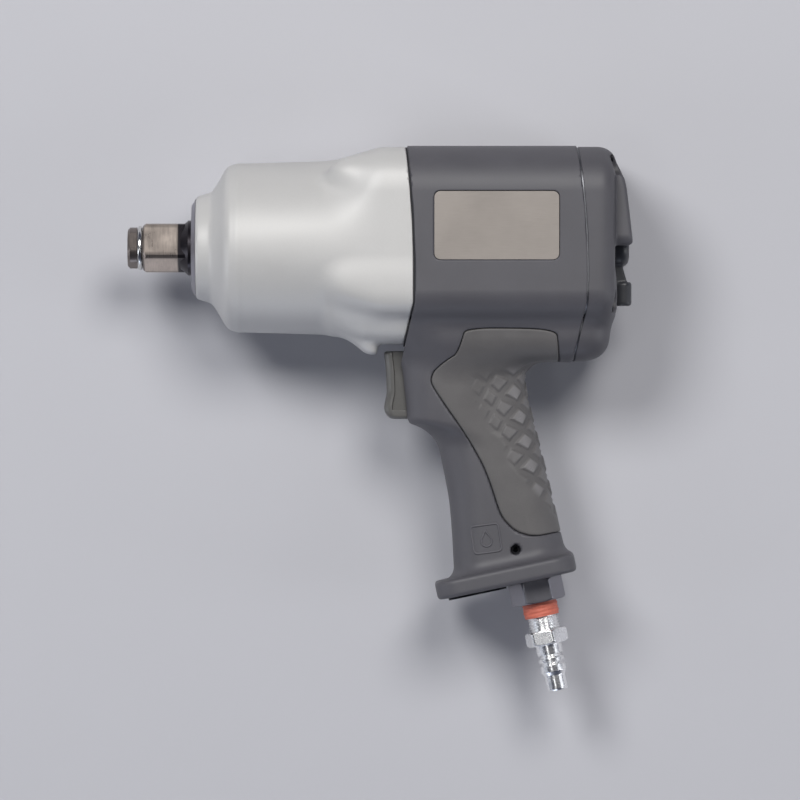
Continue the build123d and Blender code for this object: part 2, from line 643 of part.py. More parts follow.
def air_plug():
    """Quick-coupler plug: thread, hexagon, locking grooves and nose, bored through."""
    body = inlet_ring((101.0, PLUG_STEPS[0][0]), PLUG_THREAD_R)
    for (above, _), (below, radius) in zip(PLUG_STEPS, PLUG_STEPS[1:]):
        body += inlet_ring((above, below), radius) if radius else inlet_hex((above, below), PLUG_HEX, 12.0)
    start, last = PLUG_STEPS[-1][0], PLUG_STEPS[-1][1]
    taper = loft([handle_plane(start) * Circle(last), handle_plane(PLUG_TAPER_END) * Circle(PLUG_NOSE_R)])
    nose = inlet_ring((PLUG_TAPER_END, PLUG_TIP), PLUG_NOSE_R)
    return (body + taper + nose) - inlet_ring((101.0, PLUG_TIP), PLUG_BORE_R)


def thread_sealant():
    """Band of sealing compound on the thread that shows between the bushing and the plug."""
    return inlet_ring((BUSHING_HEX_S[1], PLUG_STEPS[0][0]), SEALANT_R, PLUG_THREAD_R)


def inlet_screen():
    """Perforated screen in the inlet bushing."""
    disc = inlet_ring((64.0, 65.0), 6.5)
    holes = inlet_ring((63.5, 65.5), 0.9)
    for orbit, count in ((2.4, 6), (4.8, 12)):
        for k in range(count):
            turn = radians(360.0 * k / count)
            face = Pos(orbit * cos(turn), orbit * sin(turn)) * Circle(0.8)
            holes += extrude(handle_plane(63.5) * face, 2.0)
    return disc - holes


def exhaust_deflector():
    """Louvred plate let into the bottom of the base flange, standing a little proud of it."""
    plate = handle_prism(DEFLECTOR_S, DEFLECTOR_N, 22.0, 5.0)
    for k in range(6):
        z = -15.0 + 6.0 * k
        slot = extrude(handle_plane(97.0) * Pos(-28.5, z) * SlotOverall(20.0, 2.6), 5.0)
        plate -= slot
    return plate


def muffler_pad():
    """Porous pad that quietens the exhaust."""
    return handle_prism((84.0, DEFLECTOR_S[0]), (-28.9, -15.7), 10.4, 2.9)


def roll_pins():
    """Spring pins that lock the inlet bushing, one from each side."""
    pins = []
    for side in (1, -1):
        pins.append(Pos(*pin_place(side * 13.2)) * (Cylinder(ROLL_PIN_R, 8.0) - Cylinder(1.3, 8.0)))
    return Compound([s for pin in pins for s in pin.solids()])


# ======================================================================== rear
def reverse_lever():
    """Thumb lever on the rear: hub, arm and rounded tab."""
    hub = ring(LEVER_X, LEVER_HUB_R)
    arm = make_face(Polyline(
        (LEVER_X[0], 0), (LEVER_X[0], -17.5), (249.5, -17.5), (247.4, -10.0), (247.4, 0), close=True))
    arm = extrude(arm, 4.0, both=True)
    tab = block((LEVER_X[0] + 0.3, 251.7), LEVER_TAB_Y, (-5.0, 5.0))
    tab = fillet([e for e in tab.edges() if e.center().X > 251.0 and e.length > 9.0], 1.8)
    return (hub + arm + tab) - ring((LEVER_X[0], 247.0), 3.0) - ring((247.0, LEVER_X[1]), 4.2)


def reverse_valve():
    """Rotary valve with its stem through the cover."""
    body = ring((223.2, 232.0), VALVE_DISC_R) + ring((232.0, 243.0), 5.0) + ring((243.0, 247.0), 3.0)
    for side in (1, -1):
        body -= rod((223.2, 229.0), side * 9.0, 0, 2.6)
    return body


def lever_screw():
    """Button screw that holds the lever on its stem."""
    head = ring((247.0, 249.6), 4.0)
    return head - extrude(Plane.YZ.offset(248.4) * RegularPolygon(1.5, 6, major_radius=False), 3.0)


# ======================================================================= build
def parts():
    """Every sub-part by name."""
    yield "hammer_case", hammer_case()
    yield "nose_ring", nose_ring()
    yield "anvil_seal", ring((36.0, 39.5), NOSE_BORE_R, SHANK_R + 0.1)
    yield "anvil_bushing", ring((39.5, 56.0), NOSE_BORE_R, SHANK_R + 0.05)
    yield "front_gasket", gasket(FRONT_SEAM_X, FRONT_SEAM_R, FRONT_GASKET)
    yield "motor_housing", motor_housing()
    yield "soft_grip", soft_grip()
    yield "name_plate_left", name_plate(1)
    yield "name_plate_right", name_plate(-1)
    yield "front_end_plate", front_end_plate()
    yield "cylinder", cylinder()
    yield "rear_end_plate", rear_end_plate()
    yield "port_plate", manifold()
    yield "rear_gasket", gasket(REAR_SEAM_X, REAR_SEAM_R, REAR_GASKET)
    yield "rear_cover", rear_cover()
    yield "cover_screws", cover_screws()
    yield "anvil", anvil()
    yield "socket_ring", socket_ring()
    yield "ring_cushion", ring_cushion()
    yield "hammer_frame", hammer_frame()
    yield "hammer_pins", hammer_pins()
    yield "front_hammer", hammer(FRONT_HAMMER_X, 1)
    yield "rear_hammer", hammer(REAR_HAMMER_X, -1)
    yield "rotor", rotor()
    yield "rotor_vanes", rotor_vanes()
    for name, b in (("front", FRONT_BEARING), ("rear", REAR_BEARING)):
        yield f"{name}_bearing_outer_race", bearing_race(b, False)
        yield f"{name}_bearing_inner_race", bearing_race(b, True)
        yield f"{name}_bearing_balls", bearing_balls(b)
    yield "trigger", trigger()
    yield "trigger_rod", trigger_rod()
    yield "rod_guide", rod_guide()
    yield "trigger_spring", helix_spring(Plane((141.8, ROD_Y, 0), z_dir=(1, 0, 0)), 4.6, 0.5, 15.4, 6)
    yield "valve_seat", inlet_ring(SEAT_S, INLET_R, 6.2)
    yield "throttle_valve", throttle_valve()
    yield "valve_face", valve_face()
    yield "valve_spring", helix_spring(handle_plane(SEAT_S[1] + 3.6), 5.4, 0.5, 14.8, 5)
    yield "inlet_bushing", inlet_bushing()
    yield "inlet_screen", inlet_screen()
    yield "air_plug", air_plug()
    yield "thread_sealant", thread_sealant()
    yield "roll_pins", roll_pins()
    yield "exhaust_deflector", exhaust_deflector()
    yield "muffler_pad", muffler_pad()
    yield "reverse_lever", reverse_lever()
    yield "reverse_valve", reverse_valve()
    yield "lever_screw", lever_screw()


def main():
    os.makedirs("parts", exist_ok=True)
    for name, shape in parts():
        export_step(only_solids(shape), f"parts/{name}.step")


main()
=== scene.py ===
"""Air impact wrench: detailed shells, finishes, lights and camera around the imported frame."""
from math import cos, pi, radians, sin, sqrt
import bpy
import numpy as np
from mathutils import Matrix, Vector


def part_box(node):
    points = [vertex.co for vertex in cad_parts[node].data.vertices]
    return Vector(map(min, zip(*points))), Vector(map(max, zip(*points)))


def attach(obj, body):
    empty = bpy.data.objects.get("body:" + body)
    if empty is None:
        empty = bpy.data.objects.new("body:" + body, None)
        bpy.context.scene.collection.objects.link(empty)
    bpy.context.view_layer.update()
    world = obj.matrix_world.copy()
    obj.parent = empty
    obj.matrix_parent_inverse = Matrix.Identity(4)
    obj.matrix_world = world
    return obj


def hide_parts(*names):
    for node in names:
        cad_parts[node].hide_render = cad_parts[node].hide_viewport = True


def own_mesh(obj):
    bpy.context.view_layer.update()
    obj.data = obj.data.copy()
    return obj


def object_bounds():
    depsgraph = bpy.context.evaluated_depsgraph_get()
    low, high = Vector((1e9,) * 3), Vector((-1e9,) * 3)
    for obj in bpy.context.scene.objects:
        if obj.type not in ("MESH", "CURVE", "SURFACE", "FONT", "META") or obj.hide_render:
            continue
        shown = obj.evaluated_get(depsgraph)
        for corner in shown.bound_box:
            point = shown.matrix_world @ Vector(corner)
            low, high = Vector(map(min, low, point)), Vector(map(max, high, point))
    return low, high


bl_info = {
    "name": "Air impact wrench",
    "version": (1, 0, 0),
    "blender": (4, 5, 0),
    "location": "View3D > Sidebar > Wrench",
    "description": "Builds the casing, grip, plug details, finishes and stage of an air impact wrench",
    "category": "Object",
}

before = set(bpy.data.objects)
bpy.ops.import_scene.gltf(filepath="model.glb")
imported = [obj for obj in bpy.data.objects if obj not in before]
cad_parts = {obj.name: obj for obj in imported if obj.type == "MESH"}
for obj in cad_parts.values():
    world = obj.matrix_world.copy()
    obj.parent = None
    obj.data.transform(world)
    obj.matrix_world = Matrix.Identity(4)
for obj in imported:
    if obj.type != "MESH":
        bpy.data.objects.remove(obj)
CAD_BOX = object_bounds()
MM = 0.001
HOUSING_STEP = 1.16    # how much wider it is on the housing, the largest shell


def node_box(name):
    """A CAD node's lowest and highest corners, in millimetres."""
    low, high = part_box(name)
    return [c / MM for c in low], [c / MM for c in high]


HOUSING_LOW, HOUSING_HIGH = node_box("motor_housing")
CASE_LOW, CASE_HIGH = node_box("hammer_case")
COVER_LOW, COVER_HIGH = node_box("rear_cover")
GRIP_LOW, GRIP_HIGH = node_box("soft_grip")
PLATE_LOW, PLATE_HIGH = node_box("name_plate_left")

# The casing's own sizes in millimetres, the same as the frame's.
HALF_Z = HOUSING_HIGH[2]
BODY_TOP = HOUSING_HIGH[1]
BODY_LOW = -35.5
KEEL_TOP = -10.0
KEEL_LOW = -57.0
KEEL_HALF = 32.0
SEAM_MID_Y = -13.0
SEAM_KINK_Y = -28.0
FRONT_SEAM = (142.7, 482.0)
REAR_SEAM = (228.6, 396.0)
MOTOR_BORE = 33.05
TILT = radians(12.0)
HANDLE_AT = (182.4, -68.0)
HANDLE_HALF = 20.5
SCREWS = ((40.0, 29.0), (-27.0, 31.0))
GRIP_OUTLINE = (
    (168.5, -40.3), (213.5, -40.8), (214.5, -50.0), (216.0, -70.0), (240.0, -90.0), (240.0, -140.0),
    (216.0, -141.3), (202.7, -143.9), (193.5, -141.3), (186.4, -134.0), (181.3, -118.0),
    (177.2, -107.5), (169.0, -93.4), (154.8, -73.0), (151.2, -66.8), (152.8, -61.7),
    (158.9, -56.5), (164.0, -53.5), (166.6, -47.0),
)


# ------------------------------------------------------------------ settings
def length_property(name, description, default, low):
    """A length setting in millimetres."""
    return bpy.props.FloatProperty(name=name, description=description, default=default, min=low)


class CasingSettings(bpy.types.PropertyGroup):
    """Sizes of the casing's shells."""
    shell_step: length_property("Shell step", "Spacing of the mesh on the casing shells, in mm", 1.0, 0.5)
    fine_step: length_property("Fine step", "Spacing of the mesh on grip and rear cover, in mm", 0.7, 0.4)
    edge_round: length_property("Edge rounding", "Rounding of the shells at the seams, in mm", 0.5, 0.1)
    crease_blend: length_property("Crease blend", "Softness of the crease above the keel, in mm", 9.0, 1.0)
    grip_depth: length_property("Grip thickness", "Thickness of the soft grip, in mm", 2.2, 0.5)
    diamond_pitch: length_property("Diamond pitch", "Height of one diamond of the grip, in mm", 12.5, 4.0)
    groove_depth: length_property("Groove depth", "Depth of the grooves of the grip, in mm", 0.8, 0.0)


def colour_property(name, description, hex_value):
    """A colour setting whose default is an sRGB hex value."""
    return bpy.props.FloatVectorProperty(
        name=name, description=description, default=linear(hex_value),
        subtype="COLOR", size=3, min=0.0, max=1.0)


def linear(hex_value):
    """sRGB hex to the linear colour that shaders use."""
    parts = [int(hex_value[k:k + 2], 16) / 255 for k in (1, 3, 5)]
    return tuple(c / 12.92 if c <= 0.04045 else ((c + 0.055) / 1.055) ** 2.4 for c in parts)


class FinishSettings(bpy.types.PropertyGroup):
    """Colours of the finishes that show most."""
    case_paint: colour_property("Case paint", "Silver-grey paint on the hammer case", "#c7c6c4")
    nylon: colour_property("Housing nylon", "Moulded nylon of the housing", "#525156")
    rubber: colour_property("Grip rubber", "Rubber of the soft grip", "#5e5c5c")
    plate: colour_property("Name plate", "Anodised name plate", "#9d9690")
    drive_steel: colour_property("Drive steel", "Ground steel of the square drive", "#cabdb2")
    floor: colour_property("Floor", "Paper under the tool", "#c3c3c8")


def casing():
    return bpy.context.scene.wrench_casing


def finishes():
    return bpy.context.scene.wrench_finish


# ----------------------------------------------------- distance-field helpers
def join(a, b, blend):
    """Union of two fields with a rounded inside corner."""
    h = np.clip(0.5 + 0.5 * (b - a) / blend, 0.0, 1.0)
    return b + (a - b) * h - blend * h * (1.0 - h)


def keep(a, b, blend):
    """What two fields share, with a rounded outside corner."""
    return -join(-a, -b, blend)


def rounded_rect(u, v, half_u, half_v, radius):
    """Signed distance to a rectangle with round corners."""
    qu = np.abs(u) - half_u + radius
    qv = np.abs(v) - half_v + radius
    return np.minimum(np.maximum(qu, qv), 0.0) + np.hypot(np.maximum(qu, 0.0), np.maximum(qv, 0.0)) - radius


def span(value, low, high):
    """Negative between low and high."""
    return np.maximum(low - value, value - high)


def ramp(value, start, end):
    """0 before start, 1 after end, smooth between."""
    t = np.clip((value - start) / (end - start), 0.0, 1.0)
    return t * t * (3.0 - 2.0 * t)


def softened(points, blur, step=0.25):
    """A profile through points, sampled finely and softened over blur millimetres."""
    at = np.arange(points[0][0] - 3 * blur, points[-1][0] + 3 * blur, step)
    value = np.interp(at, [p[0] for p in points], [p[1] for p in points])
    reach = np.arange(-3 * blur, 3 * blur + step, step)
    kernel = np.exp(-0.5 * (reach / blur) ** 2)
    padded = np.pad(value, len(reach), mode="edge")
    smooth = np.convolve(padded, kernel / kernel.sum(), mode="same")[len(reach):-len(reach)]
    return at, smooth


def rounded_loop(points):
    """A closed outline with its corners cut round."""
    loop = np.array(points, float)
    for _ in range(3):
        ahead = np.roll(loop, -1, axis=0)
        loop = np.stack([loop * 0.8 + ahead * 0.2, loop * 0.2 + ahead * 0.8], axis=1).reshape(-1, 2)
    return loop


def loop_distance(x, y, loop):
    """Signed distance to a closed outline, negative inside."""
    x, y = np.broadcast_arrays(x, y)
    best = np.full(x.shape, 1e9)
    inside = np.zeros(x.shape, bool)
    for (ax, ay), (bx, by) in zip(loop, np.roll(loop, -1, axis=0)):
        ex, ey = bx - ax, by - ay
        t = np.clip(((x - ax) * ex + (y - ay) * ey) / (ex * ex + ey * ey), 0.0, 1.0)
        best = np.minimum(best, (x - ax - t * ex) ** 2 + (y - ay - t * ey) ** 2)
        if by != ay:
            inside ^= ((ay > y) != (by > y)) & (x < ax + (y - ay) * ex / ey)
    return np.where(inside, -1.0, 1.0) * np.sqrt(best)


def handle_axes(x, y):
    """Distance down the handle's axis, and across it towards the back."""
    dx, dy = x - HANDLE_AT[0], y - HANDLE_AT[1]
    return dx * sin(TILT) - dy * cos(TILT), dx * cos(TILT) + dy * sin(TILT)


# --------------------------------------------------------- net over a field
def surface_net(field, low, high, step):
    """Quads over a field's zero surface, one vertex for each cell that the surface crosses."""
    axes = [np.arange(a, b + step, step) for a, b in zip(low, high)]
    x, y, z = axes[0][:, None, None], axes[1][None, :, None], axes[2][None, None, :]
    value = np.array(np.broadcast_to(field(x, y, z), tuple(len(a) for a in axes)), np.float32)
    inside = value < 0
    count = np.zeros(tuple(n - 1 for n in inside.shape), np.int8)
    corners = [(i, j, k) for i in (0, 1) for j in (0, 1) for k in (0, 1)]
    nx, ny, nz = count.shape
    for i, j, k in corners:
        count += inside[i:i + nx, j:j + ny, k:k + nz]
    cells = np.argwhere((count > 0) & (count < 8))
    number = np.full(count.shape, -1, np.int64)
    number[tuple(cells.T)] = np.arange(len(cells))
    corner_value = {c: value[tuple((cells + c).T)] for c in corners}
    total, hits = np.zeros((len(cells), 3)), np.zeros(len(cells))
    for a in corners:
        for axis in range(3):
            if a[axis]:
                continue
            b = tuple(v + (d == axis) for d, v in enumerate(a))
            fa, fb = corner_value[a], corner_value[b]
            cross = (fa < 0) != (fb < 0)
            t = np.where(cross, fa / np.where(cross, fa - fb, 1.0), 0.0)
            point = np.array(a, float) + t[:, None] * (np.array(b) - a)
            total += point * cross[:, None]
            hits += cross
    verts = (cells + total / hits[:, None]) * step + [a[0] for a in axes]
    quads = []
    for axis in range(3):
        first = [slice(None)] * 3
        second = [slice(None)] * 3
        first[axis], second[axis] = slice(0, -1), slice(1, None)
        for flip in (False, True):
            a, b = inside[tuple(first)], inside[tuple(second)]
            edges = np.argwhere((a & ~b) if not flip else (~a & b))
            u, v = [d for d in range(3) if d != axis]
            ok = (edges[:, u] > 0) & (edges[:, v] > 0)
            ok &= (edges[:, u] < number.shape[u]) & (edges[:, v] < number.shape[v])
            edges = edges[ok]
            ring = []
            for du, dv in ((1, 1), (0, 1), (0, 0), (1, 0)):
                at = edges.copy()
                at[:, u] -= du
                at[:, v] -= dv
                ring.append(number[tuple(at.T)])
            ring = np.stack(ring, axis=1)
            quads.append(ring[:, ::-1] if flip == (axis == 1) else ring)
    return verts, np.concatenate(quads)


def slope(field, verts, reach=0.04):
    """The field's gradient at each vertex."""
    parts = []
    for axis in range(3):
        shift = np.zeros(3)
        shift[axis] = reach
        ahead, behind = (verts + shift).T, (verts - shift).T
        parts.append((field(*ahead) - field(*behind)) / (2 * reach))
    return np.stack(parts, axis=1)


def settle(field, verts, quads, rounds=2):
    """Evens out the net and draws each vertex on to the surface."""
    pairs = np.concatenate([quads[:, [0, 1]], quads[:, [1, 2]], quads[:, [2, 3]], quads[:, [3, 0]]])
    near = np.bincount(pairs.ravel(), minlength=len(verts))
    for turn in range(rounds + 1):
        if turn < rounds:
            mean = np.stack([
                np.bincount(pairs[:, 0], verts[pairs[:, 1], d], len(verts))
                + np.bincount(pairs[:, 1], verts[pairs[:, 0], d], len(verts)) for d in range(3)], axis=1)
            verts = 0.5 * verts + 0.5 * mean / near[:, None]
        for _ in range(2):
            g = slope(field, verts)
            length = np.maximum((g * g).sum(1), 0.05)
            move = g * (field(*verts.T) / length)[:, None]
            size = np.linalg.norm(move, axis=1, keepdims=True)
            verts = verts - move * np.minimum(1.0, 0.8 / np.maximum(size, 1e-9))
    return verts


def shell_object(name, field, low, high, step, body, material, replaced, relief=None):
    """A shell meshed from a field, lowered by a relief, in place of a CAD node."""
    step *= 1.0
    pad = 2.5 * step
    verts, quads = surface_net(field, [v - pad for v in low], [v + pad for v in high], step)
    verts = settle(field, verts, quads)
    normals = slope(field, verts)
    normals /= np.maximum(np.linalg.norm(normals, axis=1, keepdims=True), 1e-9)
    if relief:
        lowered = verts - normals * relief(*verts.T)[:, None]
        normals += slope(relief, verts, 0.15)
        normals /= np.linalg.norm(normals, axis=1, keepdims=True)
        verts = lowered
    facing = np.cross(verts[quads[:, 2]] - verts[quads[:, 0]], verts[quads[:, 3]] - verts[quads[:, 1]])
    wrong = (facing * normals[quads[:, 0]]).sum(1) < 0
    quads[wrong] = quads[wrong, ::-1]
    mesh = bpy.data.meshes.new(name)
    mesh.from_pydata((verts * MM).tolist(), [], quads.tolist())
    mesh.validate()
    mesh.shade_smooth()
    mesh.normals_split_custom_set_from_vertices(normals.tolist())
    piece = bpy.data.objects.new(name, mesh)
    bpy.context.scene.collection.objects.link(piece)
    place(piece, body, material)
    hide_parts(replaced)
    print("shell", name, len(verts), "verts", 2 * len(quads), "triangles")
    return piece


def place(piece, body, material):
    """Gives a piece its finish and rides it on a body."""
    piece.data.materials.clear()
    piece.data.materials.append(material)
    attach(piece, body)


def mesh_piece(name, verts, faces, body, material):
    """A smooth piece from vertices in millimetres."""
    mesh = bpy.data.meshes.new(name)
    mesh.from_pydata([tuple(c * MM for c in v) for v in verts], [], faces)
    mesh.validate()
    mesh.shade_smooth()
    piece = bpy.data.objects.new(name, mesh)
    bpy.context.scene.collection.objects.link(piece)
    place(piece, body, material)
    return piece


# ------------------------------------------------------------ casing fields
def seam_x(y, seam):
    """Where a bowed seam lies at height y."""
    back, bow = seam
    curve = back - (np.maximum(y, SEAM_KINK_Y) - SEAM_MID_Y) ** 2 / (2 * bow)
    return curve - np.maximum(SEAM_KINK_Y - y, 0.0) * 0.23


def body_section(y, z, inset=0.0):
    """The wide body's section across the tool."""
    middle = (BODY_TOP + BODY_LOW) / 2
    radius = np.where(y > middle, 23.0 - inset, 14.0)
    return rounded_rect(y - middle, z, (BODY_TOP - BODY_LOW) / 2 - inset, HALF_Z - inset, radius)


def keel_section(y, z, low, half, radius):
    """The narrower keel's section under the body."""
    return rounded_rect(y - (low + KEEL_TOP) / 2, z, (KEEL_TOP - low) / 2, half, radius)


HANDLE_EDGES = ((-14, -40.0, 17.0), (8, -37.6, 16.0), (22, -33.0, 16.4), (38, -33.0, 17.0), (52, -33.3, 17.5),
                (70, -35.6, 17.8), (84, -37.9, 17.9), (92, -39.0, 18.4))
HANDLE_FRONT = softened([(s, front) for s, front, _ in HANDLE_EDGES], 4.0)
HANDLE_BACK = softened([(s, back) for s, _, back in HANDLE_EDGES], 4.0)


def handle_field(x, y, z):
    """Handle, trigger head and base flange."""
    s, n = handle_axes(x, y)
    front, back = np.interp(s, *HANDLE_FRONT), np.interp(s, *HANDLE_BACK)
    stem = rounded_rect(n - (front + back) / 2, z, (back - front) / 2, HANDLE_HALF, 17.0)
    stem = np.maximum(stem, span(s, -22.0, 95.0))
    head = rounded_rect(x - 156.0, z, 16.0, HANDLE_HALF, 12.0)
    head = keep(head, span(y, -87.0, -40.0), 3.5)
    flange = keep(rounded_rect(n + 13.95, z, 35.25, 28.0, 12.0), span(s, 90.8, 99.6), 2.2)
    return join(join(stem, head, 14.0), flange, 6.5)


def housing_outer(x, y, z):
    """Body, keel and handle with no openings."""
    low = -50.0 + (KEEL_LOW + 50.0) * ramp(x, 146.0, 160.0)
    keel = keel_section(y, z, low, KEEL_HALF, 15.0)
    whole = join(body_section(y, z), keel, casing().crease_blend)
    edge = casing().edge_round
    whole = keep(whole, x - seam_x(y, REAR_SEAM), edge)
    whole = join(whole, handle_field(x, y, z), 13.0)
    return keep(whole, seam_x(y, FRONT_SEAM) + 0.8 - x, edge)


GRIP_LOOP = rounded_loop(GRIP_OUTLINE)


def screw_holes(x, y, z, radius, start, end):
    """Negative inside the screw holes."""
    holes = [np.hypot(y - sy, np.abs(z) - sz) - radius for sy, sz in SCREWS]
    return np.maximum(np.minimum(*holes), span(x, start, end))


def housing_field(x, y, z):
    """Motor housing with its bore, air ways, trigger pocket and the recesses for grip and plates."""
    s, n = handle_axes(x, y)
    across = np.abs(z)
    outer = housing_outer(x, y, z)
    edge = casing().edge_round * 0.5 - loop_distance(x, y, GRIP_LOOP)
    recess = np.minimum(edge, outer + casing().grip_depth)
    f = keep(outer, recess, 0.7)
    wide, tall = (PLATE_HIGH[0] - PLATE_LOW[0]) / 2, (PLATE_HIGH[1] - PLATE_LOW[1]) / 2
    at_x, at_y = (PLATE_HIGH[0] + PLATE_LOW[0]) / 2, (PLATE_HIGH[1] + PLATE_LOW[1]) / 2
    plate = np.maximum(rounded_rect(x - at_x, y - at_y, wide + 0.25, tall + 0.25, 3.2), HALF_Z - 1.0 - across)
    f = keep(f, -plate, 0.5)
    bore = np.hypot(y, z) - MOTOR_BORE
    inlet = np.maximum(np.hypot(n, z) - 9.6, span(s, -10.0, 120.0))
    pocket = keep(rounded_rect(y + 68.55, z, 17.45, 10.0, 2.0), span(x, 120.0, 158.0), 0.8)
    guide = np.maximum(np.hypot(y + 68.0, z) - 4.6, span(x, 150.0, 176.0))
    way = np.maximum(rounded_rect(n + 22.3, z, 6.7, 10.5, 3.0), span(s, 17.0, 120.0))
    seat = np.maximum(rounded_rect(n + 29.3, z, 14.85, 22.15, 5.1), 97.6 - s)
    pins = np.maximum(np.hypot(s - 83.0, n + 6.3) - 2.5, 9.5 - across)
    holes = screw_holes(x, y, z, 3.2, 130.0, 240.0)
    for cut in (bore, inlet, guide, way, holes):
        f = np.maximum(f, -cut)
    f = keep(f, -pocket, 1.0)
    f = keep(f, -seat, 0.5)
    return keep(f, -pins, 0.5)


def diamond_pattern(x, y, z):
    """Distance to the nearest groove between the grip's diamonds, and 1 where the pattern is."""
    s, n = handle_axes(x, y)
    pitch = casing().diamond_pitch
    round_back = 17.0 * np.arctan2(n + 0.5, np.maximum(np.abs(z) - 3.5, -12.0))
    around = np.where(n > -0.5, np.where(round_back < 0, 40.0, round_back), n + 0.5)
    columns = (-13.8, -7.4, -2.3, 2.5, 11.7, 26.7, 45.0)
    u = np.interp(around, columns, (-20.0, -12.6, -6.3, 0.0, 6.3, 18.9, 34.0)) * pitch / 12.6
    apart = []
    for family in ((u + s - 0.1) / pitch, (u - s + 0.1) / pitch):
        apart.append((0.5 - np.abs(family - np.round(family))) * pitch / sqrt(2.0))
    down = (-8, -5, 4, 23, 27, 40, 50, 62, 72)
    edge = np.interp(s, down, (-10.5, -11.0, -12.5, -7.5, -3.0, -1.5, 4.0, 11.0, 15.0))
    field = np.minimum(np.minimum(n - edge, (s + 7.0)), 72.0 - s)
    return np.minimum(*apart), ramp(field, -0.5, 5.0)


def diamond_relief(x, y, z):
    """How far the grip's outer face is lowered between its diamonds: less in front than round the back."""
    apart, there = diamond_pattern(x, y, z)
    n = handle_axes(x, y)[1]
    deep = casing().groove_depth * (0.45 + 0.55 * ramp(n, -14.0, 6.0))
    outside = ramp(housing_outer(x, y, z), -1.4, -0.5)
    return deep * (1.0 - ramp(apart, 0.9, 2.3)) * there * outside


def diamond_gloss_with_painted_highlight(x, y, z):
    """1 on the tops of the diamonds round the back, most along the band where the lamp's highlight falls, 0
    elsewhere: it sets their gloss and a painted highlight.
    """
    apart, there = diamond_pattern(x, y, z)
    n = handle_axes(x, y)[1]
    # a weak share round the back and a narrow band where the highlight falls
    gloss_highlight_band = 0.25 * ramp(n, -6.0, 4.0) + 0.75 * np.exp(-((n - 9.5) / 3.2) ** 2)
    return ramp(apart, 1.5, 2.4) * there * gloss_highlight_band


def grip_field(x, y, z):
    """Soft grip: a skin over the handle inside the grip's outline."""
    outer = housing_outer(x, y, z)
    skin = keep(outer, loop_distance(x, y, GRIP_LOOP), 1.0)
    return keep(skin, -(outer + casing().grip_depth - 0.05), 0.4)


NOSE = softened((
    (34.0, 25.2), (35.6, 25.9), (42.0, 27.8), (45.5, 33.0), (49.0, 39.6), (51.2, 41.3), (53.3, 41.7),
    (55.3, 42.5), (57.5, 42.2), (99.0, 43.4), (150.0, 43.4)), 0.9)
NOSE_SLOPE = 1.0 / np.sqrt(1.0 + np.gradient(NOSE[1], NOSE[0]) ** 2)
CASE_KEEL = softened((
    (98.0, -42.4), (104.0, -43.4), (111.4, -46.0), (118.0, -47.8), (138.0, -48.2), (150.0, -48.0)), 0.8)


def case_outer(x, y, z):
    """Nose, shoulder, barrel, flare with its screw bosses, and the keel with its chin."""
    around = np.hypot(y, z)
    barrel = (around - np.interp(x, *NOSE)) * np.interp(x, NOSE[0], NOSE_SLOPE)
    t = ramp(x, 97.0, 129.0)
    flare = barrel * (1.0 - t) + body_section(y, z, 0.6) * t
    low = np.interp(x, *CASE_KEEL)
    half = np.interp(x, (94.0, 104.0, 138.0), (35.0, 35.0, 31.0))
    corner = np.interp(x, (94.0, 108.0, 138.0), (31.0, 22.0, 16.0))
    keel = rounded_rect(y - (low + 30.0) / 2, z, (30.0 - low) / 2, half, corner)
    keel = keel + 6.0 * (1.0 - ramp(x, 92.0, 104.0))
    whole = join(flare, np.maximum(keel, 90.0 - x), 6.0)
    across = np.abs(z)
    chin = keep(keep(0.707 * (65.4 - x - y), -53.2 - y, 2.5), x - 124.6, 1.5)
    chin = np.maximum(keep(chin, across - 19.0, 6.0), y + 40.0)
    whole = join(whole, chin, 4.0)
    for (by, bz), radius, taper in (((36.5, 29.5), 8.6, 0.62), ((-17.5, 34.0), 10.2, 0.7)):
        nose = np.maximum(115.0 - x, 0.0) * taper
        boss = np.sqrt(nose ** 2 + (y - by) ** 2 + (across - bz) ** 2) - radius
        whole = join(whole, boss, 7.0)
    return keep(whole, across - 44.7, 3.0)


def case_field(x, y, z):
    """Hammer case, hollow, cut at its seam."""
    around = np.hypot(y, z)
    f = keep(case_outer(x, y, z), 34.0 - x, 1.6)
    f = keep(f, x - seam_x(y, FRONT_SEAM), casing().edge_round)
    cavity = np.maximum(around - np.interp(x, (56.5, 59.5), (34.4, 37.4)), 56.5 - x)
    return np.maximum(np.maximum(f, -cavity), 17.5 - around)


def cover_field(x, y, z):
    """Rear cover with the hood, the screw counterbores and the room for valve and lever."""
    across = np.abs(z)
    around = np.hypot(y, z)
    wide = keep(body_section(y, z, 0.5), x - 242.5, 9.0)
    keel = keep(keel_section(y, z, KEEL_LOW + 0.3, KEEL_HALF - 0.4, 15.0), x - 240.6, 15.0)
    f = join(wide, keel, casing().crease_blend)
    hood = keep((x - 251.7) * 0.9933 + (y - 1.0) * 0.1154, (x - 247.0) * 0.857 + (y - 36.0) * 0.514, 3.0)
    hood = keep(hood, rounded_rect(y - 23.75, z, 22.75, 33.0, 5.0), 2.5)
    hood = np.maximum(hood, 236.0 - x)
    f = join(f, hood, 2.2)
    f = keep(f, seam_x(y, REAR_SEAM) + 0.6 - x, casing().edge_round)
    hollow = np.maximum(np.maximum(around - 28.0, 18.1 - around), x - 231.0)
    valve = np.maximum(around - 13.1, x - 233.0)
    stem = around - 5.2
    hub = np.maximum(around - 11.0, 242.5 - x)
    f = np.maximum(np.maximum(f, -hollow), np.maximum(-valve, -stem))
    f = keep(f, -hub, 0.7)
    f = np.maximum(f, -screw_holes(x, y, z, 3.2, 200.0, 260.0))
    return keep(f, -screw_holes(x, y, z, 5.6, 235.5, 260.0), 0.8)


TRIGGER_FRONT = softened(((-88.0, 133.5), (-85.0, 130.3), (-82.3, 128.2), (-79.5, 127.9), (-72.5, 129.4),
                          (-60.5, 128.9), (-51.0, 127.7)), 1.2)


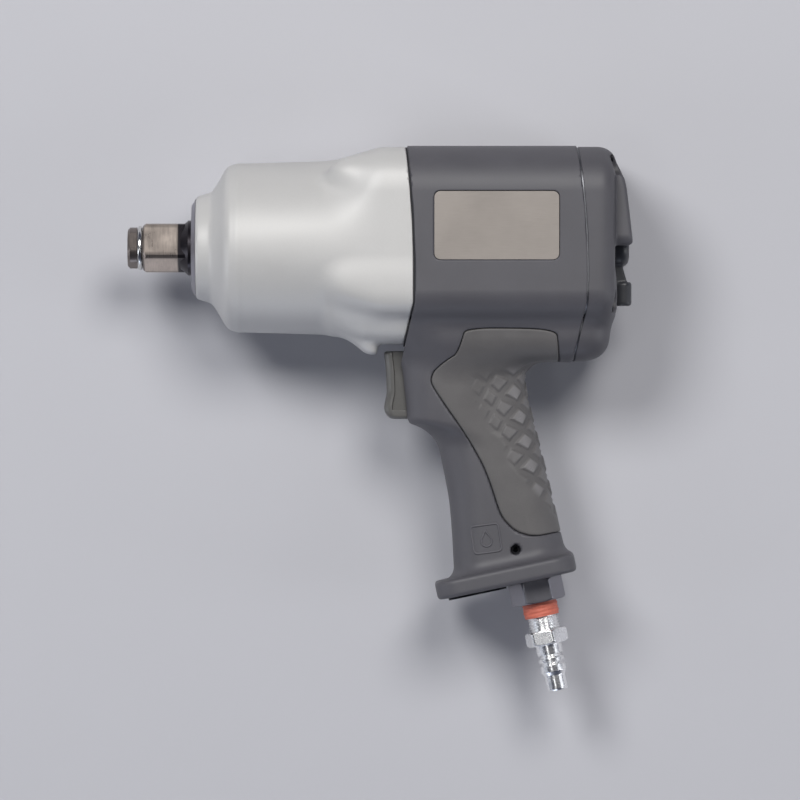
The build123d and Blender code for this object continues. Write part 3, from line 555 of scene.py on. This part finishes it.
def trigger_field(x, y, z):
    """Finger trigger with a rolled front edge and sunk sides, bored for its rod and spring."""
    front = (np.interp(y, *TRIGGER_FRONT) - x) * 0.97
    f = keep(keep(front, np.abs(z) - 9.5, 5.0), span(y, -85.5, -51.6), 2.0)
    f = keep(f, x - 147.0, 0.5)
    behind = 4.2 - (x - np.interp(y, *TRIGGER_FRONT))
    panel = np.maximum(np.maximum(behind, span(y, -81.0, -40.0)), 8.7 - np.abs(z))
    f = keep(f, -panel, 0.5)
    around = np.hypot(y + 68.0, z)
    f = np.maximum(f, -np.maximum(around - 6.0, 141.0 - x))
    return np.maximum(f, -np.maximum(around - 2.62, 133.0 - x))


def lever_field(x, y, z):
    """Reverse lever: hub, tapering arm and rounded thumb tab."""
    around = np.hypot(y, z)
    hub = keep(keep(around - 9.5, x - 250.5, 5.0), 243.0 - x, 0.8)
    thick = np.maximum(243.2 - x, x - 247.4 + (y + 10.0) * 0.28)
    arm = keep(np.maximum(span(y, -19.0, 0.0), np.abs(z) - 4.0), thick, 1.0)
    tab = keep(rounded_rect(x - 247.5, z, 4.2, 5.0, 3.9), span(y, -29.0, -17.0), 1.8)
    f = join(join(hub, arm, 1.2), tab, 0.8)
    f = np.maximum(f, -np.maximum(around - 3.02, x - 247.0))
    return np.maximum(f, -np.maximum(around - 4.2, 247.0 - x))


def along_inlet(x, y, z):
    """Distance down the inlet's axis, across it and away from it."""
    s, n = handle_axes(x, y)
    return s, n, np.hypot(n, z)


def hexagon(n, z, across, turn):
    """A hexagon's section about the inlet's axis."""
    sides = [np.abs(n * cos(turn + k * pi / 3) + z * sin(turn + k * pi / 3)) - across / 2 for k in range(3)]
    return keep(keep(sides[0], sides[1], 0.9), sides[2], 0.9)


def bushing_field(x, y, z):
    """Inlet bushing: a bored sleeve under a chamfered hexagon."""
    s, n, around = along_inlet(x, y, z)
    nut = keep(hexagon(n, z, 24.0, radians(30.0)), span(s, 99.6, 111.5), 0.4)
    nut = keep(nut, (around + np.abs(s - 105.55) * 1.6 - 21.9) * 0.53, 0.4)
    f = np.minimum(nut, np.maximum(around - 9.5, span(s, 60.0, 100.0)))
    return np.maximum(f, np.interp(s, (100.9, 101.1), (6.5, 8.35)) - around)


PLUG_LOOP = (
    (101.0, 3.75), (101.0, 8.2), (118.4, 8.2), (118.9, 6.75), (125.6, 6.75), (125.6, 8.6), (133.0, 8.6),
    (133.0, 6.6), (137.9, 6.6), (138.7, 5.2), (139.4, 5.2), (139.8, 6.4), (141.8, 6.4), (142.2, 5.2),
    (142.8, 5.2), (143.3, 6.4), (146.6, 6.4), (148.6, 5.3), (155.6, 5.3), (156.4, 4.7), (156.4, 3.75),
)


def plug_field(x, y, z):
    """Quick-coupler plug with its chamfered hexagon and locking grooves."""
    s, n, around = along_inlet(x, y, z)
    turned = loop_distance(s, around, PLUG_LOOP)
    nut = keep(hexagon(n, z, 19.0, radians(42.0)), span(s, 125.6, 133.0), 0.3)
    nut = keep(nut, (around + np.abs(s - 129.3) * 1.6 - 15.2) * 0.53, 0.3)
    return np.maximum(np.minimum(turned, nut), 3.75 - around)


# ---------------------------------------------------------------- materials
def add(tree, kind, settings=None, links=None):
    """Adds a shader node, sets its values and links its inputs."""
    made = tree.nodes.new(kind)
    for key, value in (settings or {}).items():
        if isinstance(key, int) or key in made.inputs:
            made.inputs[key].default_value = value
        else:
            setattr(made, key, value)
    for key, source in (links or {}).items():
        tree.links.new(source, made.inputs[key])
    return made


def shader(name, **sockets):
    """A new material with its Principled shader, constant sockets set on the shader itself."""
    material = bpy.data.materials.new(name)
    material.use_nodes = True
    tree = material.node_tree
    principled = tree.nodes["Principled BSDF"]
    for socket, value in sockets.items():
        principled.inputs[socket.replace("_", " ")].default_value = value
    place_at = add(tree, "ShaderNodeTexCoord").outputs["Object"]
    return material, tree, principled, place_at


def tint(colour, factor):
    return tuple(min(1.0, c * factor) for c in colour[:3]) + (1.0,)


def surface(name, colour, metallic, rough, grain_mm, relief_mm, mottle, mottle_mm, stretch=(1, 1, 1), **more):
    """A finish with broad tone changes, a fine grain in height and roughness, and an optional lay."""
    material, tree, principled, where = shader(name, Metallic=metallic, **more)
    lay = add(tree, "ShaderNodeMapping", {"Scale": stretch}, {"Vector": where}).outputs[0]
    broad_noise = {"Scale": 1.0 / (mottle_mm * MM), "Detail": 5.0, "Roughness": 0.6}
    broad = add(tree, "ShaderNodeTexNoise", broad_noise, {"Vector": where}).outputs["Fac"]
    fine_noise = {"Scale": 1.0 / (grain_mm * MM), "Detail": 4.0, "Roughness": 0.65}
    fine = add(tree, "ShaderNodeTexNoise", fine_noise, {"Vector": lay}).outputs["Fac"]
    both = add(tree, "ShaderNodeMix", {"data_type": "FLOAT", 0: 0.45}, {2: broad, 3: fine}).outputs[0]
    tone = add(tree, "ShaderNodeValToRGB", None, {"Fac": both})
    tone.color_ramp.elements[0].position, tone.color_ramp.elements[1].position = 0.33, 0.67
    tone.color_ramp.elements[0].color = tint(colour, 1.0 - mottle)
    tone.color_ramp.elements[1].color = tint(colour, 1.0 + mottle)
    tree.links.new(tone.outputs["Color"], principled.inputs["Base Color"])
    limits = {"From Min": 0.3, "From Max": 0.7, "To Min": rough - 0.06, "To Max": rough + 0.06}
    spread = add(tree, "ShaderNodeMapRange", limits, {"Value": both}).outputs["Result"]
    tree.links.new(spread, principled.inputs["Roughness"])
    bump = add(tree, "ShaderNodeBump", {"Strength": 0.6, "Distance": relief_mm * MM}, {"Height": fine})
    tree.links.new(bump.outputs["Normal"], principled.inputs["Normal"])
    return material


def painted_cast_aluminium():
    """Die-cast aluminium under silver-grey satin paint: a soft broad gloss and slight orange peel."""
    return surface("silver satin paint on cast aluminium", finishes().case_paint,
                   0.15, 0.5, 0.9, 0.012, 0.03, 30.0, Coat_Weight=0.08, Coat_Roughness=0.4)


def moulded_nylon(name="spark-textured moulded nylon", factor=1.0):
    """Glass-filled nylon from a spark-eroded mould: an even, fine matt grain with a low gloss."""
    return surface(name, tint(finishes().nylon, factor), 0.0, 0.52, 0.55, 0.05, 0.10, 22.0,
                   Specular_IOR_Level=0.6)


def blend_colour(material, share, hex_value):
    """Blends a finish's colour towards another one, by a share given in a socket."""
    tree = material.node_tree
    base = tree.nodes["Principled BSDF"].inputs["Base Color"]
    other = {"data_type": "RGBA", 7: (*linear(hex_value), 1.0)}
    both = add(tree, "ShaderNodeMix", other, {0: share, 6: base.links[0].from_socket})
    tree.links.new(both.outputs[2], base)


def overmoulded_rubber():
    """Soft thermoplastic rubber: warm grey and dusty, glossier on the diamonds' tops, and painted paler there
    as a highlight.
    """
    material = surface("overmoulded thermoplastic rubber", finishes().rubber,
                       0.0, 0.55, 0.45, 0.03, 0.14, 16.0, Specular_IOR_Level=0.5, Sheen_Weight=0.08)
    tree = material.node_tree
    principled = tree.nodes["Principled BSDF"]
    gloss_highlight_band = add(tree, "ShaderNodeAttribute", {"attribute_name": "raised"}).outputs["Fac"]
    rough = principled.inputs["Roughness"].links[0].from_socket
    smoother = add(tree, "ShaderNodeMath", {"operation": "MULTIPLY_ADD", 1: -0.27}, {0: gloss_highlight_band, 2: rough})
    tree.links.new(smoother.outputs[0], principled.inputs["Roughness"])
    # paints a paler colour on the diamonds' tops: a painted highlight
    painted_highlight_share = add(tree, "ShaderNodeMath", {"operation": "MULTIPLY", 1: 0.8}, {0: gloss_highlight_band}).outputs[0]
    blend_colour(material, painted_highlight_share, "#8b898a")
    return material


def anodised_plate():
    """Anodised aluminium sheet, brushed lengthwise: warm grey with fine streaks."""
    return surface("brushed anodised aluminium", finishes().plate, 0.55, 0.42, 0.35, 0.006, 0.07, 30.0,
                   (0.04, 1, 1))


def ground_steel():
    """Chrome-molybdenum steel: warm grey and ground on the flats, black oxide at tip, corners and neck."""
    material = surface("ground drive steel", finishes().drive_steel,
                       0.9, 0.31, 0.5, 0.02, 0.2, 9.0, (1, 0.08, 0.08))
    tree = material.node_tree
    where = add(tree, "ShaderNodeSeparateXYZ", None, {0: add(tree, "ShaderNodeTexCoord").outputs["Object"]})

    def zone(value, start, end, most=1.0):
        limits = {"From Min": start, "From Max": end, "To Max": most}
        return add(tree, "ShaderNodeMapRange", limits, {"Value": value}).outputs[0]

    def pair(operation, first, second):
        return add(tree, "ShaderNodeMath", {"operation": operation}, {0: first, 1: second}).outputs[0]

    square = [add(tree, "ShaderNodeMath", {"operation": "POWER", 1: 2.0}, {0: where.outputs[axis]}).outputs[0]
              for axis in ("Y", "Z")]
    corner = zone(pair("ADD", *square), (11.5 * MM) ** 2, (12.1 * MM) ** 2, 0.4)
    neck = zone(where.outputs["X"], 24.6 * MM, 25.4 * MM)
    pilot = zone(where.outputs["X"], 8.6 * MM, 8.2 * MM, 0.7)
    blend_colour(material, pair("MAXIMUM", corner, pair("MAXIMUM", pilot, neck)), "#3b383c")
    return material


def plain_metal(name, hex_value, rough, grain, mottle=0.1, stretch=(1, 1, 1), relief=0.008):
    """A bare or plated metal with a machined lay."""
    return surface(name, linear(hex_value), 1.0, rough, grain, relief, mottle, 8.0, stretch)


def plain_solid(name, hex_value, rough, grain, mottle=0.12, relief=0.03):
    """A non-metal with an even grain."""
    return surface(name, linear(hex_value), 0.0, rough, grain, relief, mottle, 8.0)


def dress(material, *nodes):
    """Gives CAD nodes a finish."""
    for name in nodes:
        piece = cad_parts[name]
        piece.data.materials.clear()
        piece.data.materials.append(material)


# --------------------------------------------------------- small mesh pieces
def inlet_point(s, n, z):
    """A point given down the inlet's axis, across it and to the side."""
    return (HANDLE_AT[0] + s * sin(TILT) + n * cos(TILT), HANDLE_AT[1] - s * cos(TILT) + n * sin(TILT), z)


def thread(name, stretch, root, crest, pitch, material, wander=0.0):
    """A threaded sleeve about the inlet's axis; wander makes it uneven, as a smeared compound is."""
    around, along = 96, int((stretch[1] - stretch[0]) / pitch * 10)
    rng = np.random.default_rng(7)
    uneven = [rng.uniform(0, 2 * pi, 4) for _ in range(2)]
    verts, faces = [], []
    for i in range(along + 1):
        s = stretch[0] + (stretch[1] - stretch[0]) * i / along
        fade = min(1.0, i / 5, (along - i) / 5)
        for k in range(around):
            a = 2 * pi * k / around
            turn = (s / pitch - k / around) % 1.0
            height = (1.0 - abs(2.0 * turn - 1.0)) * (crest - root) * fade
            bumps = sum(sin((j + 2) * a + uneven[0][j] + s * (0.9 + 0.4 * j)) for j in range(4))
            radius = root + height + wander * bumps * 0.35
            verts.append(inlet_point(s, radius * cos(a), radius * sin(a)))
    inner = len(verts)
    for s in stretch:
        for k in range(around):
            a = 2 * pi * k / around
            verts.append(inlet_point(s, (root - 0.6) * cos(a), (root - 0.6) * sin(a)))
    rings = [i * around for i in range(along + 1)] + [inner + around, inner, 0]
    for low, high in zip(rings, rings[1:]):
        for k in range(around):
            nxt = (k + 1) % around
            faces.append((low + k, low + nxt, high + nxt, high + k))
    return mesh_piece(name, verts, faces, "tool_body", material)


def coil(name, start, along, radius, wire, height, turns, material, replaced):
    """A coil spring of round wire on the tool's body, in place of a CAD node."""
    side = along.orthogonal().normalized()
    up = along.cross(side)
    steps, ring = turns * 32, 10
    verts, faces = [], []
    for i in range(steps + 1):
        a = 2 * pi * turns * i / steps
        out = side * cos(a) + up * sin(a)
        centre = start + along * (height * i / steps) + out * radius
        for k in range(ring):
            b = 2 * pi * k / ring
            verts.append(tuple(centre + out * wire * cos(b) + along * wire * sin(b)))
    for i in range(steps):
        for k in range(ring):
            a, b = i * ring + k, i * ring + (k + 1) % ring
            faces.append((a, b, b + ring, a + ring))
    faces.append(tuple(range(ring)))
    faces.append(tuple(steps * ring + k for k in reversed(range(ring))))
    piece = mesh_piece(name, verts, faces, "tool_body", material)
    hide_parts(replaced)
    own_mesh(piece)


def raised_line(name, loop, width, material):
    """A low rounded bead along a closed line on the handle's left side."""
    verts, faces = [], []
    points = np.array(loop)
    ahead = np.roll(points, -1, axis=0) - np.roll(points, 1, axis=0)
    out = np.stack([ahead[:, 1], -ahead[:, 0]], axis=1) / np.linalg.norm(ahead, axis=1, keepdims=True)
    profile = ((-0.5, -0.5), (-0.5, 0.05), (-0.25, 0.36), (0.0, 0.45), (0.25, 0.36), (0.5, 0.05), (0.5, -0.5))
    top = surface_height(points)
    for (x, y), (ox, oy), z in zip(points, out, top):
        verts += [(x + ox * u * width * 2, y + oy * u * width * 2, z + h) for u, h in profile]
    count, rows = len(profile), len(points)
    for i in range(rows):
        for k in range(count):
            a, b = i * count + k, i * count + (k + 1) % count
            c, d = (a + count) % (rows * count), (b + count) % (rows * count)
            faces.append((a, b, d, c))
    return mesh_piece(name, verts, faces, "tool_body", material)


def square_turns(count=72):
    """Angles round a square with slightly rounded corners, and how far out its side is at each."""
    for k in range(count):
        a = 2 * pi * k / count
        yield a, (abs(cos(a)) ** 9 + abs(sin(a)) ** 9) ** (-1 / 9)


def surface_height(points):
    """Height of the housing's left side over points, found by halving."""
    low, high = np.zeros(len(points)), np.full(len(points), 60.0)
    for _ in range(30):
        middle = (low + high) / 2
        inside = housing_outer(points[:, 0], points[:, 1], middle) < 0
        low, high = np.where(inside, middle, low), np.where(inside, high, middle)
    return low


# ---------------------------------------------------------------- operators
class WRENCH_OT_hammer_case(bpy.types.Operator):
    """Build the cast hammer case"""
    bl_idname = "wrench.hammer_case"
    bl_label = "Hammer case"

    def execute(self, context):
        shell_object("hammer_case_shell", case_field, CASE_LOW, CASE_HIGH, casing().shell_step, "tool_body",
                     painted_cast_aluminium(), "hammer_case")
        return {"FINISHED"}


class WRENCH_OT_motor_housing(bpy.types.Operator):
    """Build the moulded motor housing with its handle"""
    bl_idname = "wrench.motor_housing"
    bl_label = "Motor housing"

    def execute(self, context):
        shell_object("motor_housing_shell", housing_field, HOUSING_LOW, HOUSING_HIGH,
                     casing().shell_step * HOUSING_STEP, "tool_body",
                     moulded_nylon(), "motor_housing")
        return {"FINISHED"}


class WRENCH_OT_soft_grip(bpy.types.Operator):
    """Build the rubber grip with its diamonds"""
    bl_idname = "wrench.soft_grip"
    bl_label = "Soft grip"

    def execute(self, context):
        skin = shell_object("soft_grip_skin", grip_field, GRIP_LOW, GRIP_HIGH, casing().fine_step,
                            "tool_body", overmoulded_rubber(), "soft_grip", diamond_relief)
        where = np.array([v.co for v in skin.data.vertices]) / MM
        # the "raised" attribute carries the diamonds' gloss and their paler painted highlight
        raised = skin.data.attributes.new("raised", "FLOAT", "POINT")
        raised.data.foreach_set("value", diamond_gloss_with_painted_highlight(*where.T).astype(np.float32))
        return {"FINISHED"}


class WRENCH_OT_rear_cover(bpy.types.Operator):
    """Build the rear cover with its hood"""
    bl_idname = "wrench.rear_cover"
    bl_label = "Rear cover"

    def execute(self, context):
        shell_object("rear_cover_shell", cover_field, COVER_LOW, COVER_HIGH, casing().fine_step, "tool_body",
                     moulded_nylon("moulded nylon rear cover", 0.95), "rear_cover")
        return {"FINISHED"}


class WRENCH_OT_controls(bpy.types.Operator):
    """Build the trigger and the reverse lever"""
    bl_idname = "wrench.controls"
    bl_label = "Trigger and reverse lever"

    def execute(self, context):
        low, high = node_box("trigger")
        shell_object("trigger_shell", trigger_field, low, high, 0.5, "trigger",
                     plain_solid("satin moulded acetal", "#5c5b59", 0.34, 0.9, 0.06, 0.01),
                     "trigger")
        low, high = node_box("reverse_lever")
        shell_object("reverse_lever_shell", lever_field, low, high, 0.4, "reverse",
                     plain_solid("satin moulded nylon lever", "#3c3d41", 0.36, 0.8, 0.06, 0.01),
                     "reverse_lever")
        return {"FINISHED"}


class WRENCH_OT_inlet(bpy.types.Operator):
    """Build the inlet bushing, the plug with its thread and the band of sealant"""
    bl_idname = "wrench.inlet"
    bl_label = "Air inlet"

    def execute(self, context):
        nickel = plain_metal("bright nickel plating", "#fbfbfb", 0.27, 0.6, 0.03, relief=0.002)
        low, high = node_box("inlet_bushing")
        shell_object("inlet_bushing_shell", bushing_field, low, high, 0.5, "tool_body",
                     plain_metal("dark chrome plating", "#8e8d93", 0.34, 0.6, 0.08, relief=0.002),
                     "inlet_bushing")
        low, high = node_box("air_plug")
        shell_object("air_plug_shell", plug_field, low, high, 0.4, "tool_body",
                     nickel, "air_plug")
        thread("plug_thread", (118.7, 125.4), 6.8, 8.1, 1.35, nickel)
        band = thread("thread_sealant_band", (111.6, 118.7), 8.6, 8.85, 1.9,
                      plain_solid("set thread sealant", "#cf6f5a", 0.55, 1.4, 0.15, 0.3), 0.16)
        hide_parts("thread_sealant")
        return {"FINISHED"}


class WRENCH_OT_springs(bpy.types.Operator):
    """Build the trigger's and the valve's coil springs"""
    bl_idname = "wrench.springs"
    bl_label = "Springs"

    def execute(self, context):
        wire = plain_metal("drawn spring wire", "#d8d8d6", 0.22, 0.3)
        start = inlet_point(45.0, 0.0, 0.0)
        down = Vector((sin(TILT), -cos(TILT), 0.0))
        coil("trigger_spring_coil", Vector((141.8, -68.0, 0.0)), Vector((1, 0, 0)), 4.6, 0.5, 15.4, 6, wire,
             "trigger_spring")
        coil("valve_spring_coil", Vector(start), down, 5.4, 0.5, 14.4, 5, wire,
             "valve_spring")
        return {"FINISHED"}


class WRENCH_OT_oil_mark(bpy.types.Operator):
    """Build the raised oiling mark on the handle"""
    bl_idname = "wrench.oil_mark"
    bl_label = "Oiling mark"

    def execute(self, context):
        # the mark's nylon is 15% lighter than the housing's: a painted highlight on the bead
        material = moulded_nylon("raised nylon mark with painted highlight", 1.15)
        middle = (178.9, -145.0)
        turn = radians(8.0)
        frame_loop = [(6.9 * cos(a) * reach, 6.9 * sin(a) * reach) for a, reach in square_turns()]
        drop = []
        for k in range(24):
            a = 2 * pi * k / 24
            pull = max(0.0, sin(a)) ** 3
            drop.append((2.7 * cos(a) * (1 - 0.75 * pull), -1.2 + 2.7 * sin(a) + 2.6 * pull))
        for name, loop, width in (("oil_mark_frame", frame_loop, 0.55), ("oil_mark_drop", drop, 0.5)):
            turned = [(u * cos(turn) - v * sin(turn), u * sin(turn) + v * cos(turn)) for u, v in loop]
            raised_line(name, [(middle[0] + x, middle[1] + y) for x, y in turned], width, material)
        return {"FINISHED"}


class WRENCH_OT_finish_metal(bpy.types.Operator):
    """Give the drive, hammer and motor parts their finishes"""
    bl_idname = "wrench.finish_metal"
    bl_label = "Drive, hammer and motor finishes"

    def execute(self, context):
        dress(ground_steel(), "anvil")
        dress(plain_metal("turned wear-ring steel", "#9d9ca4", 0.36, 0.5, 0.1), "nose_ring")
        dress(plain_metal("drawn ring wire", "#d8d8d6", 0.22, 0.3), "socket_ring")
        dress(plain_metal("black-oxide steel", "#2b2b2e", 0.38, 0.4, 0.2), "cover_screws", "lever_screw",
              "exhaust_deflector", "roll_pins")
        dress(plain_metal("shot-peened alloy steel", "#77787a", 0.45, 0.6, 0.15, relief=0.04), "hammer_frame",
              "front_hammer", "rear_hammer")
        dress(plain_metal("polished bearing steel", "#c9cacc", 0.16, 0.4, 0.05), "front_bearing_outer_race",
              "front_bearing_inner_race", "front_bearing_balls", "rear_bearing_outer_race",
              "rear_bearing_inner_race", "rear_bearing_balls", "hammer_pins")
        dress(plain_metal("turned steel", "#a2a3a5", 0.3, 0.35, 0.08, (1, 0.1, 0.1)), "rotor", "port_plate",
              "trigger_rod", "throttle_valve")
        dress(plain_metal("machined cast iron", "#5c5d5e", 0.5, 0.8, 0.18, relief=0.03), "cylinder",
              "front_end_plate", "rear_end_plate")
        dress(plain_metal("sintered bronze", "#a8804e", 0.42, 0.5, 0.15, relief=0.02), "anvil_bushing",
              "rod_guide", "valve_seat", "inlet_screen", "reverse_valve")
        dress(plain_metal("bright steel gasket sheet", "#75767a", 0.4, 0.8, 0.3), "rear_gasket")
        return {"FINISHED"}


class WRENCH_OT_finish_other(bpy.types.Operator):
    """Give the name plates, seals, gasket, vanes and muffler pad their finishes"""
    bl_idname = "wrench.finish_other"
    bl_label = "Plate, seal, vane and pad finishes"

    def execute(self, context):
        dress(anodised_plate(), "name_plate_left", "name_plate_right")
        dress(plain_solid("nitrile rubber", "#1c1c1c", 0.6, 0.6), "anvil_seal", "ring_cushion", "valve_face")
        dress(plain_solid("pressed fibre gasket", "#242428", 0.8, 0.5, 0.2, 0.05), "front_gasket")
        dress(plain_solid("linen phenolic laminate", "#8a5a2c", 0.5, 0.4, 0.2), "rotor_vanes")
        dress(plain_solid("porous felt pad", "#8d887c", 0.95, 0.8, 0.3, 0.3), "muffler_pad")
        return {"FINISHED"}


CAMERA_HEIGHT = 3.6    # metres above the tool's middle plane
VIEW_WIDTH = 0.4       # metres across the picture at that plane


def lamp(name, place_at, target, size, power, colour, length=None):
    """A soft area lamp aimed at a point: round, or a strip standing along Y if it has a length."""
    data = bpy.data.lights.new(name, "AREA")
    data.shape, data.size, data.energy, data.color = "DISK", size, power, colour
    if length:
        data.shape, data.size_y = "RECTANGLE", length
    made = bpy.data.objects.new(name, data)
    made.location = place_at
    made.rotation_euler = (Vector(target) - Vector(place_at)).to_track_quat("-Z", "Y").to_euler()
    bpy.context.scene.collection.objects.link(made)


def studio_world(scene):
    """Bluish room light that is brightest near the horizon, as from pale walls."""
    world = bpy.data.worlds.new("studio")
    world.use_nodes = True
    tree = world.node_tree
    where = add(tree, "ShaderNodeTexCoord").outputs["Generated"]
    up = add(tree, "ShaderNodeSeparateXYZ", None, {"Vector": where}).outputs["Z"]
    tone = add(tree, "ShaderNodeValToRGB", None, {"Fac": up})
    tone.color_ramp.elements[0].position, tone.color_ramp.elements[1].position = 0.0, 1.0
    tone.color_ramp.elements[0].color = (*linear("#888eab"), 1.0)
    tone.color_ramp.elements[1].color = (*linear("#4c5061"), 1.0)
    background = tree.nodes["Background"]
    tree.links.new(tone.outputs["Color"], background.inputs["Color"])
    background.inputs["Strength"].default_value = 0.29
    scene.world = world


class WRENCH_OT_stage(bpy.types.Operator):
    """Build the floor, lamps and camera"""
    bl_idname = "wrench.stage"
    bl_label = "Stage"

    def execute(self, context):
        corners = [(x, y, CAD_BOX[0][2]) for x, y in ((-3, -3), (3, -3), (3, 3), (-3, 3))]
        floor_mesh = bpy.data.meshes.new("floor")
        floor_mesh.from_pydata(corners, [], [(0, 1, 2, 3)])
        floor = bpy.data.objects.new("floor", floor_mesh)
        context.scene.collection.objects.link(floor)
        paper = surface("matt background paper", finishes().floor, 0.0, 0.8, 1.5, 0.02, 0.01, 60.0)
        floor.data.materials.append(paper)
        studio_world(context.scene)
        middle = (0.13, -0.06, 0.0)
        lamp("key_softbox", (0.75, 1.15, 2.3), middle, 1.1, 33.0, (1.0, 0.985, 0.96))
        lamp("left_softbox", (-0.8, 1.0, 2.0), middle, 0.9, 30.0, (0.99, 0.99, 0.985))
        lamp("left_strip", (-0.95, -0.25, 0.35), middle, 0.26, 1.9, (0.9, 0.94, 1.0), 0.8)
        lamp("right_strip", (1.1, -0.25, 0.4), middle, 0.26, 2.0, (0.94, 0.96, 1.0), 0.7)
        lamp("low_fill", (-0.1, -1.25, 0.2), middle, 1.0, 2.2, (0.78, 0.85, 1.0), 0.3)
        lamp("top_card", (-0.4, -0.3, 2.2), middle, 0.35, 1.5, (1.0, 1.0, 1.0))
        camera = bpy.data.objects.new("camera", bpy.data.cameras.new("camera"))
        camera.location = (0.136, -0.076, CAMERA_HEIGHT)
        camera.data.lens = camera.data.sensor_width * CAMERA_HEIGHT / VIEW_WIDTH
        context.scene.collection.objects.link(camera)
        context.scene.camera = camera
        context.scene.view_settings.view_transform = "Standard"
        return {"FINISHED"}


OPERATORS = (
    WRENCH_OT_hammer_case, WRENCH_OT_motor_housing, WRENCH_OT_soft_grip, WRENCH_OT_rear_cover,
    WRENCH_OT_controls, WRENCH_OT_inlet, WRENCH_OT_springs, WRENCH_OT_oil_mark, WRENCH_OT_finish_metal,
    WRENCH_OT_finish_other, WRENCH_OT_stage,
)


class WRENCH_PT_panel(bpy.types.Panel):
    """Lists the wrench's pieces"""
    bl_idname = "WRENCH_PT_panel"
    bl_label = "Air impact wrench"
    bl_space_type = "VIEW_3D"
    bl_region_type = "UI"
    bl_category = "Wrench"

    def draw(self, context):
        for settings in (context.scene.wrench_casing, context.scene.wrench_finish):
            for name in settings.bl_rna.properties.keys():
                if name not in ("rna_type", "name"):
                    self.layout.prop(settings, name)
        for operator in OPERATORS:
            self.layout.operator(operator.bl_idname)


CLASSES = (CasingSettings, FinishSettings, *OPERATORS, WRENCH_PT_panel)


def register():
    for cls in CLASSES:
        bpy.utils.register_class(cls)
    bpy.types.Scene.wrench_casing = bpy.props.PointerProperty(type=CasingSettings)
    bpy.types.Scene.wrench_finish = bpy.props.PointerProperty(type=FinishSettings)


def unregister():
    del bpy.types.Scene.wrench_finish
    del bpy.types.Scene.wrench_casing
    for cls in reversed(CLASSES):
        bpy.utils.unregister_class(cls)


def main():
    register()
    for operator in OPERATORS:
        group, name = operator.bl_idname.split(".")
        getattr(getattr(bpy.ops, group), name)()


if __name__ == "__main__":
    main()
